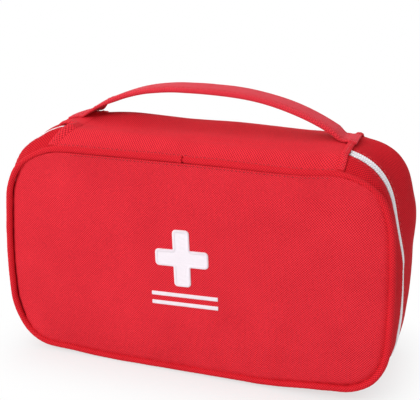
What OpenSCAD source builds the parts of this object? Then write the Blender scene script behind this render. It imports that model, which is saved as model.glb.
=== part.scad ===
// First aid bag: a soft zip case that stands upright, with its lid hinged along the top front seam.
// X is the width, Y the depth with the lid towards -Y, and Z points up from the table.

/* [Bag outline] */
// Width between the piping lines at the widest height
bag_w = 226; // [200:1:260]
// Height between the piping lines at the middle
bag_h = 128; // [112:1:150]
// Depth between the front and the rear piping line
bag_d = 72; // [64:1:90]
// Radius of the two top corners, on the piping line
top_corner_r = 38; // [32:1:44]
// Radius of the two foot corners, on the piping line
foot_corner_r = 30; // [24:1:34]
// Radius of the outward bow of the sides
side_bow_r = 500; // [420:10:700]
// Radius of the upward bow at the ends of the foot edge
foot_bow_r = 340; // [260:10:420]
// Slope at which the foot edge runs into its corner, in degrees
foot_slope = 7.6; // [5:0.1:9]
// Inward lean of the side just above the foot corner, in degrees
side_lean = 2; // [1:0.1:3]
// Height of the piping line above the table at the middle of the foot
seam_lift = 3.2; // [2.8:0.1:4]

/* [Cloth and seams] */
// Radius of the piping cord with its cloth
piping_r = 2.3; // [1.8:0.1:2.8]
// Thickness of the laminated gusset and spine cloth
gusset_t = 1.9; // [1.5:0.1:2.2]
// Thickness of the panel cloth
panel_t = 0.9; // [0.6:0.1:1.2]
// Thickness of the foam inside each panel
foam_t = 2.5; // [1.5:0.1:4]
// Thickness of the lining
lining_t = 0.7; // [0.4:0.1:0.9]
// How far each panel is crowned
panel_crown = 5; // [3:0.5:8]
// How far the panel edge lies behind the piping line
panel_sink = 0.4; // [0:0.1:1]
// How far the gusset stands proud of the piping line at its seams
seam_lip = 1.5; // [1:0.1:2]
// Swell of the gusset at the foot and sides
side_swell = 3; // [2.2:0.1:4]
// Swell of the gusset at the top corners and the spine
top_swell = 5.6; // [4.5:0.1:7]
// Extra crown of the spine behind the zip line
spine_crown = 2.8; // [1:0.1:4]
// Extra fullness of the rear half of the top corners
corner_crown = 3.2; // [1:0.1:4]
// How far the gusset is drawn in along the zip where the sides meet the top corners
zip_dip = 6.2; // [0:0.1:6.6]
// Width of the binding tape over the inner seams
binding_w = 2.9; // [2:0.1:4]
// Thickness of the binding tape
binding_t = 1.5; // [1:0.1:2]

/* [Zip] */
// Distance of the zip line behind the front piping line
lid_depth = 18; // [15:0.5:22]
// Width of the slot that shows the zip
zip_slot_w = 6.8; // [6.6:0.1:8]
// Width of one half of the coil
coil_w = 1.85; // [1.5:0.05:1.9]
// Height of the coil
coil_t = 1.5; // [1.2:0.1:1.6]
// Gap between the two halves of the coil
coil_gap = 1; // [0.9:0.1:1.2]
// Depth of the coil below the cloth surface
coil_sink = 0.4; // [0.2:0.1:0.8]
// Width of each zip tape
tape_w = 7.5; // [6:0.5:9]
// Thickness of the zip tape
tape_t = 0.5; // [0.3:0.1:0.6]
// Angle of the zip end from the top, round the corner, in degrees
tab_angle = 18; // [14:0.5:24]
// Angle that the folded end tab spans, in degrees
tab_span = 9; // [6:0.5:11]
// Thickness of the folded end tab
tab_t = 1; // [0.6:0.1:1.6]

/* [Slider and pull] */
// Length of the slider
slider_l = 9; // [7:0.5:11]
// Thickness of the slider plates
plate_t = 1; // [0.7:0.1:1.3]
// Thickness of the post between the two coil halves
post_t = 0.4; // [0.3:0.05:0.5]
// Length of the post along the zip
post_l = 2.4; // [1.5:0.1:3]
// Radius of the bridge bar
bar_r = 0.4; // [0.3:0.05:0.6]
// Wall of the pull's eye
eye_wall = 0.45; // [0.35:0.05:0.7]
// Length of the pull, from the bar to its tip
pull_l = 22; // [16:0.5:28]
// Width of the pull
pull_w = 5; // [4:0.1:6]
// Thickness of the pull
pull_t = 1; // [0.7:0.1:1.2]
// Radius of the hole in the pull's tip
pull_hole_r = 1.2; // [0.8:0.1:1.6]

/* [Handle] */
// Width of the handle strap
handle_w = 20; // [16:0.5:24]
// Thickness of the handle strap
handle_t = 2.8; // [2.4:0.1:4]
// Distance of the strap's middle behind the middle of the bag
handle_back = 5; // [2:0.5:15]
// Height of the hand gap under the middle of the strap
handle_clear = 18.5; // [12:0.5:30]
// How much the arch is flattened in its middle: 2 is a parabola
arch_power = 2.4; // [2:0.1:3]
// Length of each sewn end of the strap, up to the bend where the free strap begins
handle_end_l = 20; // [16:1:30]
// Wall of the sewn sleeve round the handle core
sleeve_t = 0.7; // [0.4:0.1:0.8]

/* [Embroidery] */
// Width of the cross
cross_w = 32; // [24:0.5:40]
// Height of the cross
cross_h = 34; // [24:0.5:40]
// Width of the cross arms
cross_arm = 10.2; // [7:0.1:13]
// Height of the middle of the cross above the middle of the panel
cross_lift = 7.4; // [0:0.1:12]
// Thickness of the stitched fill
stitch_t = 0.6; // [0.4:0.1:0.9]
// Width of the raised satin border
border_w = 1.6; // [1:0.1:2.2]
// Height of the satin border above the fill
border_t = 0.3; // [0.2:0.1:0.6]
// Width of the stitched lines below the cross
line_w = 40; // [24:1:50]
// Height of each stitched line
line_h = 2.4; // [1.5:0.1:3]
// Distance between the two stitched lines
line_pitch = 5.4; // [4:0.1:7]
// Depth of the middle of the lines below the middle of the panel
line_drop = 18.6; // [14:0.1:24]
// Tilt of the embroidery on the panel, in degrees
stitch_tilt = 2; // [0:0.1:4]

/* [Inside] */
// Number of elastic loops
loop_count = 5; // [3:1:6]
// Distance between the elastic loops
loop_pitch = 24; // [20:1:26]
// Width of the sewn foot between two loops
loop_foot = 4; // [3:0.5:6]
// Height of each loop above the lining
loop_h = 9; // [6:0.5:11]
// Thickness of the elastic
elastic_t = 1; // [0.6:0.1:1.4]
// Height of the elastic band
elastic_w = 25; // [15:1:32]
// Height of the mesh pocket's top edge above the table
pocket_z = 84; // [60:1:95]
// Thickness of the mesh
mesh_t = 0.6; // [0.4:0.1:0.8]
// Height of the elastic hem of the mesh pocket
hem_h = 7; // [5:0.5:10]
// Thickness of the elastic hem
hem_t = 1.4; // [1:0.1:1.8]

/* [Hidden] */
$fn = 48;

// Clearances: between stacked layers, at sewn seams and between pieces that move apart
layer_gap = 0.15;
seam_gap = 0.25;
move_gap = 0.35;
// Room above and below the coil inside the slider
channel_gap = 0.6;
// The lid hangs this far above the table
lid_lift = 0.4;

// Colours
red = [0.80, 0.07, 0.12];
deep_red = [0.62, 0.04, 0.08];
white = [0.95, 0.94, 0.95];
black = [0.12, 0.12, 0.13];
grey = [0.55, 0.55, 0.57];
steel = [0.72, 0.72, 0.74];

// Steps along each stretch of the seam line
foot_steps = 2;
foot_corner_steps = 6;
side_steps = 4;
top_corner_steps = 6;
spine_steps = 3;

// The seam line, as stops of [x, z, heading] with the heading in degrees from +X
half_w = bag_w / 2;
half_d = bag_d / 2;
seam_top = seam_lift + bag_h;
mid_z = seam_lift + bag_h / 2;
foot_rise = foot_bow_r * (1 - cos(foot_slope));
foot_corner_rise = foot_corner_r * (cos(foot_slope) - sin(side_lean));
side_rest = bag_h - foot_rise - foot_corner_rise - top_corner_r - side_bow_r * sin(side_lean);
top_lean = asin(side_rest / (side_bow_r - top_corner_r));
foot_half = half_w - side_bow_r * (1 - cos(side_lean))
  - foot_corner_r * (cos(side_lean) - sin(foot_slope)) - foot_bow_r * sin(foot_slope);
tab_gap_angle = move_gap / (top_corner_r + top_swell) * 180 / PI;
run_end = 180 - tab_angle - tab_gap_angle;

function arc_end(p, r, a, b) = [p[0] + r * (sin(b) - sin(a)), p[1] + r * (cos(a) - cos(b))];
function arc_stops(p, r, a, b, steps) =
  [for (i = [1:steps]) let (h = a + (b - a) * i / steps) concat(arc_end(p, r, a, h), h)];

foot_end = [foot_half, seam_lift];
foot_corner_start = arc_end(foot_end, foot_bow_r, 0, foot_slope);
side_start = arc_end(foot_corner_start, foot_corner_r, foot_slope, 90 - side_lean);
top_corner_start = arc_end(side_start, side_bow_r, 90 - side_lean, 90 + top_lean);
tab_start = concat(arc_end(top_corner_start, top_corner_r, 90 + top_lean, 180 - tab_angle), 180 - tab_angle);
corner_x = top_corner_start[0] - top_corner_r * cos(top_lean);

run_half = concat(
  [concat(foot_end, 0)],
  arc_stops(foot_end, foot_bow_r, 0, foot_slope, foot_steps),
  arc_stops(foot_corner_start, foot_corner_r, foot_slope, 90 - side_lean, foot_corner_steps),
  arc_stops(side_start, side_bow_r, 90 - side_lean, 90 + top_lean, side_steps),
  arc_stops(top_corner_start, top_corner_r, 90 + top_lean, run_end, top_corner_steps)
);
tab_end = concat(arc_end(tab_start, top_corner_r, tab_start[2], tab_start[2] + tab_span), tab_start[2] + tab_span);
top_end = [corner_x, seam_top, 180];
spine_half = concat([tab_start, tab_end], [for (i = [spine_steps:-1:0]) [corner_x * i / spine_steps, seam_top, 180]]);
loop_half = concat(run_half, [tab_end, top_end]);

function mirrored(s) = [-s[0], s[1], 360 - s[2]];
function mirrored_back(list, last, first) = [for (i = [last:-1:first]) mirrored(list[i])];
// Stops of the whole loop, of the zip run under it, and of the spine over it
seam_loop = concat(loop_half, mirrored_back(loop_half, len(loop_half) - 1, 0));
zip_run = concat(mirrored_back(run_half, len(run_half) - 1, 0), run_half);
spine_run = concat(spine_half, mirrored_back(spine_half, len(spine_half) - 2, 0));

// Swell of the gusset: how far the cloth stands out from the seam line at a stop and a depth
gusset_half = half_d - piping_r - seam_gap;
zip_y = lid_depth - half_d;
swell_blend = 24;
swell_from = top_corner_start[1] - swell_blend;
crown_from = zip_y + zip_slot_w;
swell_power = 3;
corner_heading = 128;
corner_reach = 28;
spine_reach = 75;
dip_reach = 30;
dip_end = 8;
dip_blend = dip_end - zip_y;

function smooth(t) = let (c = min(1, max(0, t))) c * c * (3 - 2 * c);
function bump(t) = pow(max(0, 1 - t * t), 2);
function fold_heading(s) = min(s[2], 360 - s[2]);
function swell_at(s) = side_swell + (top_swell - side_swell) * smooth((s[1] - swell_from) / swell_blend);
function crown_at(s) = fold_heading(s) < 90 ? 0 :
  corner_crown * bump((fold_heading(s) - corner_heading) / corner_reach) + spine_crown * bump(s[0] / spine_reach)
  * smooth((s[1] - top_corner_start[1]) / (seam_top - top_corner_start[1]));
function crown_share(y) = let (t = min(1, max(0, (y - crown_from) / (gusset_half - crown_from)))) pow(sin(180 * t), 2);
function dip_at(s, y) = zip_dip * bump((s[1] - top_corner_start[1]) / dip_reach) * smooth((dip_end - y) / dip_blend);
function stand_out(s, y) = seam_lip + (swell_at(s) - dip_at(s, y)) * (1 - pow(abs(y) / gusset_half, swell_power))
  + crown_at(s) * crown_share(y);

// A point at a stop and a depth y, sunk below the cloth surface, never lower than the floor
function offset_point(s, n) = [s[0] + n * sin(s[2]), s[1] - n * cos(s[2])];
function cloth_point(s, y, sink, floor_z) =
  let (p = offset_point(s, stand_out(s, y) - sink)) [p[0], y, max(p[1], floor_z + sink)];
function even(a, b, steps) = [for (i = [0:steps]) a + (b - a) * i / steps];
function backwards(list) = [for (i = [len(list) - 1:-1:0]) list[i]];

// A solid through rings of points, with flat ends unless it closes on itself.
// The second half of each ring has its diagonals turned, so that the two faces of a cloth stay parallel.
module skin(rings, closed) {
  k = len(rings[0]);
  m = k / 2;
  last = len(rings) - 1;
  sides = [for (i = [0:closed ? last : last - 1], j = [0:k - 1])
    let (a = i * k, b = (i + 1) % (last + 1) * k, j2 = (j + 1) % k)
    each j < m
      ? [[a + j, b + j, b + j2], [a + j, b + j2, a + j2]]
      : [[a + j, b + j, a + j2], [b + j, b + j2, a + j2]]];
  ends = closed ? [] : [for (j = [0:m - 2]) let (e = last * k)
    each [
      [j, j + 1, k - 2 - j], [j, k - 2 - j, k - 1 - j],
      [e + j + 1, e + j, e + k - 1 - j], [e + j + 1, e + k - 1 - j, e + k - 2 - j]
    ]];
  polyhedron([for (r = rings) each r], concat(sides, ends));
}

// Cloth that follows the swell between two depths below its surface
module cloth_wall(stops, ys, sink_out, sink_in, floor_z = 0) {
  skin([for (s = stops) concat(
    [for (y = ys) cloth_point(s, y, sink_out, floor_z)],
    [for (y = backwards(ys)) cloth_point(s, y, sink_in, floor_z)]
  )], false);
}

// A bar with a section of [offset, y] points, carried round the whole seam loop
module seam_ring(section) {
  skin([for (s = seam_loop) [for (c = section)
    let (p = offset_point(s, c[0])) [p[0], c[1], p[1]]
  ]], true);
}

// Panels: crowned layers, side is -1 for the lid's and 1 for the rear one
panel_edge = -piping_r - seam_gap;
panel_y = half_d - panel_sink;
ring_scales = [1, 0.94, 0.82, 0.6, 0.3];
crown_power = 4;
foam_sink = panel_t + layer_gap;
panel_lining_sink = foam_sink + foam_t + layer_gap;
panel_in = panel_lining_sink + lining_t;

function panel_depth(scale, sink) = panel_y + panel_crown * (1 - pow(scale, crown_power)) - sink;
function panel_ring(side, inset, scale, sink) = [for (s = seam_loop)
  let (p = offset_point(s, panel_edge - inset))
  [p[0] * scale, side * panel_depth(scale, sink), mid_z + (p[1] - mid_z) * scale]];

module panel_layer(side, inset, sink_out, sink_in) {
  far = side > 0 ? sink_out : sink_in;
  near = side > 0 ? sink_in : sink_out;
  skin(concat(
    [for (q = backwards(ring_scales)) panel_ring(side, inset, q, far)],
    [for (q = ring_scales) panel_ring(side, inset, q, near)]
  ), false);
}

module piping(y) {
  sides = 8;
  seam_ring([for (i = [0:sides - 1]) let (t = 360 * i / sides) [piping_r * cos(t), y + piping_r * sin(t)]]);
}

// Depths below the cloth surface: coil, tape under the gusset, lining under the tape
coil_bottom = coil_sink + coil_t;
tape_sink = max(gusset_t, coil_bottom) + layer_gap;
gusset_lining_sink = tape_sink + tape_t + layer_gap;
gusset_sink_in = gusset_lining_sink + lining_t;
slot_half = zip_slot_w / 2;
rear_edge = zip_y + slot_half;
front_edge = zip_y - slot_half;
tape_out = coil_gap / 2 + tape_w;
rear_rows = concat(rear_edge, even(zip_y + tape_out, gusset_half, 6));
front_rows = concat(even(-gusset_half, zip_y - tape_out, 2), front_edge);
spine_rows = even(-gusset_half, gusset_half, 10);

// The binding lies in the inner corner between panel lining and gusset lining
binding_edge = seam_lip - gusset_sink_in - seam_gap;
binding_y = panel_y - panel_in - seam_gap;
module binding(side) {
  near = side * (binding_y - (side > 0 ? binding_t : 0));
  far = side * (binding_y - (side > 0 ? 0 : binding_t));
  seam_ring([
    [binding_edge, near], [binding_edge, far], [binding_edge - binding_w, far], [binding_edge - binding_w, near]
  ]);
}

module zip_coil(side, floor_z) {
  near = zip_y + side * coil_gap / 2;
  far = near + side * coil_w;
  step = side * coil_w / 5;
  half = coil_t / 2;
  row = [
    [near, coil_bottom], [near, coil_sink + half], [near + step, coil_sink],
    [far - step, coil_sink], [far, coil_sink + half], [far, coil_bottom]
  ];
  section = side > 0 ? row : backwards(row);
  skin([for (s = zip_run) [for (c = section) cloth_point(s, c[0], c[1], floor_z)]], false);
}

module zip_tape(side, floor_z) {
  rows = [zip_y + side * coil_gap / 2, zip_y + side * slot_half, zip_y + side * tape_out];
  cloth_wall(zip_run, side > 0 ? rows : backwards(rows), tape_sink, tape_sink + tape_t, floor_z);
}

// The folded tab lies over the spine at each zip end
tab_stops = [tab_start, tab_end];
tab_rows = even(-gusset_half + seam_gap, gusset_half - seam_gap, 10);
module zip_tab() {
  cloth_wall(tab_stops, tab_rows, -layer_gap - tab_t, -layer_gap);
}

// Handle: an arch from tab to tab over the spine
spine_mid = [0, seam_top, 180];
handle_half = corner_x + (top_corner_r + stand_out(tab_end, handle_back)) * sin(180 - tab_end[2]) - move_gap;
handle_free = handle_half - handle_end_l;
strap_near = max(0, handle_back - handle_w / 2);
tab_surface_z = seam_top - top_corner_r * (1 - cos(180 - tab_end[2])) + stand_out(tab_end, strap_near);
arch_end_z = tab_surface_z + seam_gap + handle_t / 2;
arch_top_z = seam_top + stand_out(spine_mid, handle_back) + handle_clear + handle_t / 2;
function arch_z(x) = arch_top_z - (arch_top_z - arch_end_z) * pow(abs(x) / handle_half, arch_power);

module strap(xs, inset) {
  w = handle_w / 2 - inset;
  t = handle_t / 2 - inset;
  c = t / 2;
  section = [[-w, c - t], [c - w, -t], [w - c, -t], [w, c - t], [w, t - c], [w - c, t], [c - w, t], [-w, t - c]];
  skin([for (x = xs) [for (p = section) [x, handle_back + p[0], arch_z(x) + p[1]]]], false);
}

module handle_end(side) {
  xs = even(handle_free + move_gap, handle_half, 4);
  strap(side > 0 ? xs : [for (x = backwards(xs)) -x], 0);
}

// Slider: it stands on the left side at the bag's widest height
slider_half = slot_half - move_gap;
slider_z = side_start[1] + side_bow_r * sin(side_lean);
slider_n = stand_out([half_w, slider_z, 90], zip_y);
slider_at = [-half_w - slider_n, zip_y, slider_z];
plate_in = channel_gap - coil_sink;
plate_out = plate_in + plate_t;
plate_below = tape_sink + tape_t + channel_gap;
flange_in = coil_gap / 2 + coil_w + move_gap;
flange_foot = tape_sink - move_gap;
lip_drop = channel_gap - move_gap;
eye_gap = 0.25;
eye_r = bar_r + eye_gap + eye_wall;
bar_out = plate_out + move_gap + eye_r;
leg_t = 0.6;
leg_l = 2.4;

// Places a block on the slider: from out_a to out_b outwards, from y_a to y_b and from z_a to z_b
module slider_block(out_a, out_b, y_a, y_b, z_a, z_b) {
  translate([-out_b, y_a, z_a]) cube([out_b - out_a, y_b - y_a, z_b - z_a]);
}

// A slider plate, narrowed towards the end where the two tapes run together
module slider_plate(out_a, out_b) {
  narrow = slider_half / 4;
  outline = [
    [-slider_half, slider_l / 2], [slider_half, slider_l / 2], [slider_half, 0],
    [slider_half - narrow, -slider_l / 2], [narrow - slider_half, -slider_l / 2], [-slider_half, 0]
  ];
  translate([-out_a, 0, 0]) rotate([90, 0, -90]) linear_extrude(out_b - out_a)
    polygon([for (p = outline) [-p[0], p[1]]]);
}

// Modules of the sub-parts
module rear_panel() { color(red) panel_layer(1, 0, 0, panel_t); }
module rear_foam() { color(grey) panel_layer(1, seam_gap, foam_sink, foam_sink + foam_t); }
module rear_lining() { color(black) panel_layer(1, 0, panel_lining_sink, panel_in); }
module rear_piping() { color(red) piping(half_d); }
module rear_gusset() { color(red) cloth_wall(zip_run, rear_rows, 0, gusset_t); }
module rear_gusset_lining() {
  rows = concat(rear_edge + seam_gap, even(zip_y + tape_out, gusset_half, 4));
  color(black) cloth_wall(zip_run, rows, gusset_lining_sink, gusset_sink_in);
}
module rear_binding() { color(black) binding(1); }
module spine_panel() { color(red) cloth_wall(spine_run, spine_rows, 0, gusset_t); }
module spine_lining() {
  near = -gusset_half + binding_t + panel_in;
  rows = [near, for (y = spine_rows) if (y > near) y];
  color(black) cloth_wall(spine_run, rows, gusset_t + layer_gap, gusset_t + layer_gap + lining_t);
}
module zip_tape_rear() { color(white) zip_tape(1, 0); }
module zip_coil_rear() { color(white) zip_coil(1, 0); }
module zip_tab_left() { color(deep_red) mirror([1, 0, 0]) zip_tab(); }
module zip_tab_right() { color(deep_red) zip_tab(); }
module handle_end_left() { color(red) handle_end(-1); }
module handle_end_right() { color(red) handle_end(1); }

module handle_sleeve() {
  xs = even(-handle_free, handle_free, 16);
  past = [-handle_free - 1, for (x = xs) x, handle_free + 1];
  color(red) difference() {
    strap(xs, 0);
    strap(past, sleeve_t);
  }
}
module handle_core() {
  color(white) strap(even(-handle_free, handle_free, 16), sleeve_t + layer_gap);
}

// The elastic band is sewn to the rear lining and stands out in a row of loops
module elastic_loops() {
  loop_half_w = (loop_pitch - loop_foot) / 2;
  arc_steps = 12;
  back_y = panel_depth(loop_count * loop_pitch / 2 / half_w, panel_in) - layer_gap;
  function hill(u, a, b) = [a * sin(90 * u), b * cos(90 * u)];
  function row(a, b) = [for (i = [0:loop_count - 1], j = [0:arc_steps])
    let (p = hill(2 * j / arc_steps - 1, a, b)) [(i - (loop_count - 1) / 2) * loop_pitch + p[0], back_y - p[1]]];
  end_x = loop_count * loop_pitch / 2;
  front = [for (p = row(loop_half_w, loop_h)) [p[0], min(p[1], back_y - elastic_t)]];
  back = row(loop_half_w - elastic_t, loop_h - elastic_t);
  color(grey) translate([0, 0, mid_z - elastic_w / 2]) linear_extrude(elastic_w)
    polygon(concat(
      [[-end_x, back_y], [-end_x, back_y - elastic_t]], front,
      [[end_x, back_y - elastic_t], [end_x, back_y]], backwards(back)
    ));
}

module front_panel() { color(red) panel_layer(-1, 0, 0, panel_t); }
module front_foam() { color(grey) panel_layer(-1, seam_gap, foam_sink, foam_sink + foam_t); }
module front_lining() { color(black) panel_layer(-1, 0, panel_lining_sink, panel_in); }
module front_piping() { color(red) piping(-half_d); }
module front_gusset() { color(red) cloth_wall(zip_run, front_rows, 0, gusset_t, lid_lift); }
module front_gusset_lining() {
  rows = concat(even(-gusset_half, zip_y - tape_out, 2), front_edge - seam_gap);
  color(black) cloth_wall(zip_run, rows, gusset_lining_sink, gusset_sink_in, lid_lift);
}
module front_binding() { color(black) binding(-1); }
module zip_tape_front() { color(white) zip_tape(-1, lid_lift); }
module zip_coil_front() { color(white) zip_coil(-1, lid_lift); }

// The mesh pocket covers the lower part of the lid's lining, inside the binding
pocket_edge = binding_edge - binding_w - seam_gap;
pocket_y = -panel_y + panel_in + seam_gap;
module pocket_slice(z_low, z_high, t) {
  translate([0, pocket_y + t, 0]) rotate([90, 0, 0]) linear_extrude(t) intersection() {
    polygon([for (s = seam_loop) offset_point(s, pocket_edge)]);
    translate([-half_w, z_low]) square([bag_w, z_high - z_low]);
  }
}
module mesh_pocket() { color(black) pocket_slice(0, pocket_z, mesh_t); }
module mesh_pocket_hem() { color(deep_red) pocket_slice(pocket_z + layer_gap, pocket_z + hem_h, hem_t); }

// Embroidery on the middle of the front panel
stitch_y = -panel_depth(0, 0) - layer_gap;
module on_panel(t) {
  translate([0, stitch_y, mid_z]) rotate([90, 0, 0]) linear_extrude(t) rotate(stitch_tilt) children();
}
module round_bar(w, h, r) {
  square([w - 2 * r, h], center = true);
  square([w, h - 2 * r], center = true);
  for (x = [-1, 1], y = [-1, 1]) translate([x * (w / 2 - r), y * (h / 2 - r)]) circle(r);
}
module cross_shape(inset) {
  corner = 1.2;
  r = max(0.2, corner - inset);
  translate([0, cross_lift]) {
    round_bar(cross_w - 2 * inset, cross_arm - 2 * inset, r);
    round_bar(cross_arm - 2 * inset, cross_h - 2 * inset, r);
  }
}
module embroidered_cross() {
  color(white) union() {
    on_panel(stitch_t) cross_shape(0);
    on_panel(stitch_t + border_t) difference() {
      cross_shape(0);
      cross_shape(border_w);
    }
  }
}
module embroidered_lines() {
  color(white) for (i = [-1, 1])
    on_panel(stitch_t) translate([0, i * line_pitch / 2 - line_drop]) round_bar(line_w, line_h, line_h / 2.2);
}

module zip_slider() {
  flange_l = slider_l / 2;
  color(steel) translate(slider_at) union() {
    slider_plate(plate_in, plate_out);
    slider_plate(-plate_below - plate_t, -plate_below);
    slider_block(-plate_below, plate_in, -post_t / 2, post_t / 2, slider_l / 2 - post_l, slider_l / 2);
    slider_block(-flange_foot, plate_in, flange_in, slider_half, 0, flange_l);
    slider_block(plate_in - lip_drop, plate_in, -slider_half, -flange_in, 0, flange_l);
    for (side = [-1, 1]) {
      leg = side * (slider_half - leg_t / 2);
      slider_block(plate_out, bar_out + bar_r, leg - leg_t / 2, leg + leg_t / 2, -leg_l / 2, leg_l / 2);
    }
    translate([-bar_out, -slider_half + leg_t / 2, 0]) rotate([-90, 0, 0])
      cylinder(r = bar_r, h = 2 * slider_half - leg_t);
  }
}

module zip_pull() {
  eye_w = 2 * (slider_half - leg_t - move_gap);
  neck_l = leg_l / 2 + bar_r + move_gap;
  color(steel) translate([slider_at[0] - bar_out, zip_y, slider_z]) difference() {
    union() {
      translate([0, -eye_w / 2, 0]) rotate([-90, 0, 0]) cylinder(r = eye_r, h = eye_w);
      translate([-pull_t / 2, -eye_w / 2, -neck_l - pull_t]) cube([pull_t, eye_w, neck_l + pull_t]);
      translate([-pull_t / 2, -pull_w / 2, pull_w / 2 - pull_l])
        cube([pull_t, pull_w, pull_l - pull_w / 2 - neck_l]);
      translate([-pull_t / 2, 0, pull_w / 2 - pull_l]) rotate([0, 90, 0]) cylinder(d = pull_w, h = pull_t);
    }
    translate([0, -pull_w, 0]) rotate([-90, 0, 0]) cylinder(r = bar_r + eye_gap, h = 2 * pull_w);
    translate([-pull_t, 0, pull_w / 2 - pull_l]) rotate([0, 90, 0]) cylinder(r = pull_hole_r, h = 2 * pull_t);
  }
}

rear_panel();
rear_foam();
rear_lining();
rear_piping();
rear_gusset();
rear_gusset_lining();
rear_binding();
spine_panel();
spine_lining();
elastic_loops();
zip_tape_rear();
zip_coil_rear();
zip_tab_left();
zip_tab_right();
handle_end_left();
handle_end_right();
handle_sleeve();
handle_core();
front_panel();
front_foam();
front_lining();
front_piping();
front_gusset();
front_gusset_lining();
front_binding();
zip_tape_front();
zip_coil_front();
mesh_pocket();
mesh_pocket_hem();
embroidered_cross();
embroidered_lines();
zip_slider();
zip_pull();
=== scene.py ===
# %% [markdown]
# # A small red first aid bag
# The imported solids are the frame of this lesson: they give every piece its place, its size and the body
# that it moves with. Here each piece gets its cloth, cord, coil, thread or metal. Sizes are worked out in
# millimetres, as on a sewing pattern, and a mesh is brought to metres when it is made.

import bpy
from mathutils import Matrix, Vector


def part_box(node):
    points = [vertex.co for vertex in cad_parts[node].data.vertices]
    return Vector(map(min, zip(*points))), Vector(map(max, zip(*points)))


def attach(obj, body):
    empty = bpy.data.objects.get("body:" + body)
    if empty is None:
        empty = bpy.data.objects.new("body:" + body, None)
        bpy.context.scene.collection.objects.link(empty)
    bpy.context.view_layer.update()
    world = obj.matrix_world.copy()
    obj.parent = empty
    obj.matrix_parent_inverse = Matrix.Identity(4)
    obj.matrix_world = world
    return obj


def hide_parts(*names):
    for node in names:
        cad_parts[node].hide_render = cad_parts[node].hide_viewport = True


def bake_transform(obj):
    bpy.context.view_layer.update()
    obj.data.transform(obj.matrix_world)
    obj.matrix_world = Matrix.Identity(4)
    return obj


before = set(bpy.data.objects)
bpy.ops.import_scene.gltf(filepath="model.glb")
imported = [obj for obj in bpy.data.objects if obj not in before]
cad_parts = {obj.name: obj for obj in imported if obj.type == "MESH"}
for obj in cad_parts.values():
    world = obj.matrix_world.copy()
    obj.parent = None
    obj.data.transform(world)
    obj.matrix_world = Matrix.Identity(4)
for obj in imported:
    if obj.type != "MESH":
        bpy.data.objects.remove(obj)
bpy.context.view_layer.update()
print("packed nodes:", len(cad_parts))

# %% [markdown]
# ## The measures that everything hangs on
# A bag like this is drawn from one line: the seam where the front panel, the piping and the side wall are
# sewn together. The size of that line could be typed in again, but then it would drift from the solids, so
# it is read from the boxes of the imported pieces.

# %% Main measures
import math

import bpy
import numpy as np

scene = bpy.context.scene
MM_PER_METRE = 1000.0


def box_mm(node):
    """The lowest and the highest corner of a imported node, in millimetres."""
    low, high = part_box(node)
    return np.array(low) * MM_PER_METRE, np.array(high) * MM_PER_METRE


piping_low, piping_high = box_mm("front_piping")
piping_r = (piping_high[1] - piping_low[1]) / 2
half_w = piping_high[0] - piping_r
foot_z = piping_low[2] + piping_r
top_z = piping_high[2] - piping_r
half_d = -(piping_low[1] + piping_r)
mid_z = (foot_z + top_z) / 2
zip_y = (box_mm("zip_coil_rear")[0][1] + box_mm("zip_coil_front")[1][1]) / 2
print(f"seam {2 * half_w:.1f} x {top_z - foot_z:.1f}, bag {2 * half_d:.1f} deep, zip at y {zip_y:.1f}")

# %% [markdown]
# ## The camera
# The camera stands where the photographer stood: a little to the right of the bag and above it. It could be
# placed by eye, but a few measured angles give the same picture each time. The lens and the small shift
# come from the same fit.

# %% Camera
view_azimuth = math.radians(19.586)
view_elevation = math.radians(17.534)
view_roll = math.radians(-0.12)
view_distance = 466.826
view_target = np.array([2.089, 0.0, 97.831])
focal_px, centre_px, picture_px = 795.524, (211.331, 196.181), (420, 400)

back = np.array([
    math.sin(view_azimuth) * math.cos(view_elevation),
    -math.cos(view_azimuth) * math.cos(view_elevation),
    math.sin(view_elevation),
])
level = np.array([math.cos(view_azimuth), math.sin(view_azimuth), 0.0])
upright = np.cross(back, level)
right = level * math.cos(view_roll) + upright * math.sin(view_roll)
up = upright * math.cos(view_roll) - level * math.sin(view_roll)

lens = bpy.data.cameras.new("photo_camera")
lens.sensor_width = 36.0
lens.lens = focal_px * lens.sensor_width / picture_px[0]
lens.shift_x = (picture_px[0] / 2 - centre_px[0]) / picture_px[0]
lens.shift_y = (centre_px[1] - picture_px[1] / 2) / picture_px[0]
lens.clip_start = 0.02
camera = bpy.data.objects.new("photo_camera", lens)
pose = np.eye(4)
pose[:3, 0], pose[:3, 1], pose[:3, 2] = right, up, back
pose[:3, 3] = (view_target + back * view_distance) / MM_PER_METRE
camera.matrix_world = pose.T.tolist()
scene.collection.objects.link(camera)
scene.camera = camera
print(f"lens {lens.lens:.1f} mm, shift {lens.shift_x:.4f} {lens.shift_y:.4f}")

# %% [markdown]
# ## The seam line
# The outline of the panel is a chain of straight stretches and arcs, as a pattern cutter would draw it with
# a compass: a nearly flat foot, small foot corners, sides that bow out a little and wide top corners. The
# heading of the line is then a broken straight line over its length, and its points come from adding up
# small steps in that heading. The left half is the right half mirrored.

# %% Seam line
top_corner_r, foot_corner_r = 38.0, 30.0
side_bow_r, foot_bow_r = 500.0, 340.0
foot_slope, side_lean = math.radians(7.6), math.radians(2.0)
foot_low, foot_rise = 0.6, 1.8
side_bow_out, side_tuck_in = 0.5, 0.2
low_from, low_blend, bow_top, bow_fade = 15.0, 50.0, 100.0, 25.0
bow_x, tuck_x, tuck_blend, tilt_x = 100.0, 60.0, 50.0, 110.0

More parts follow.
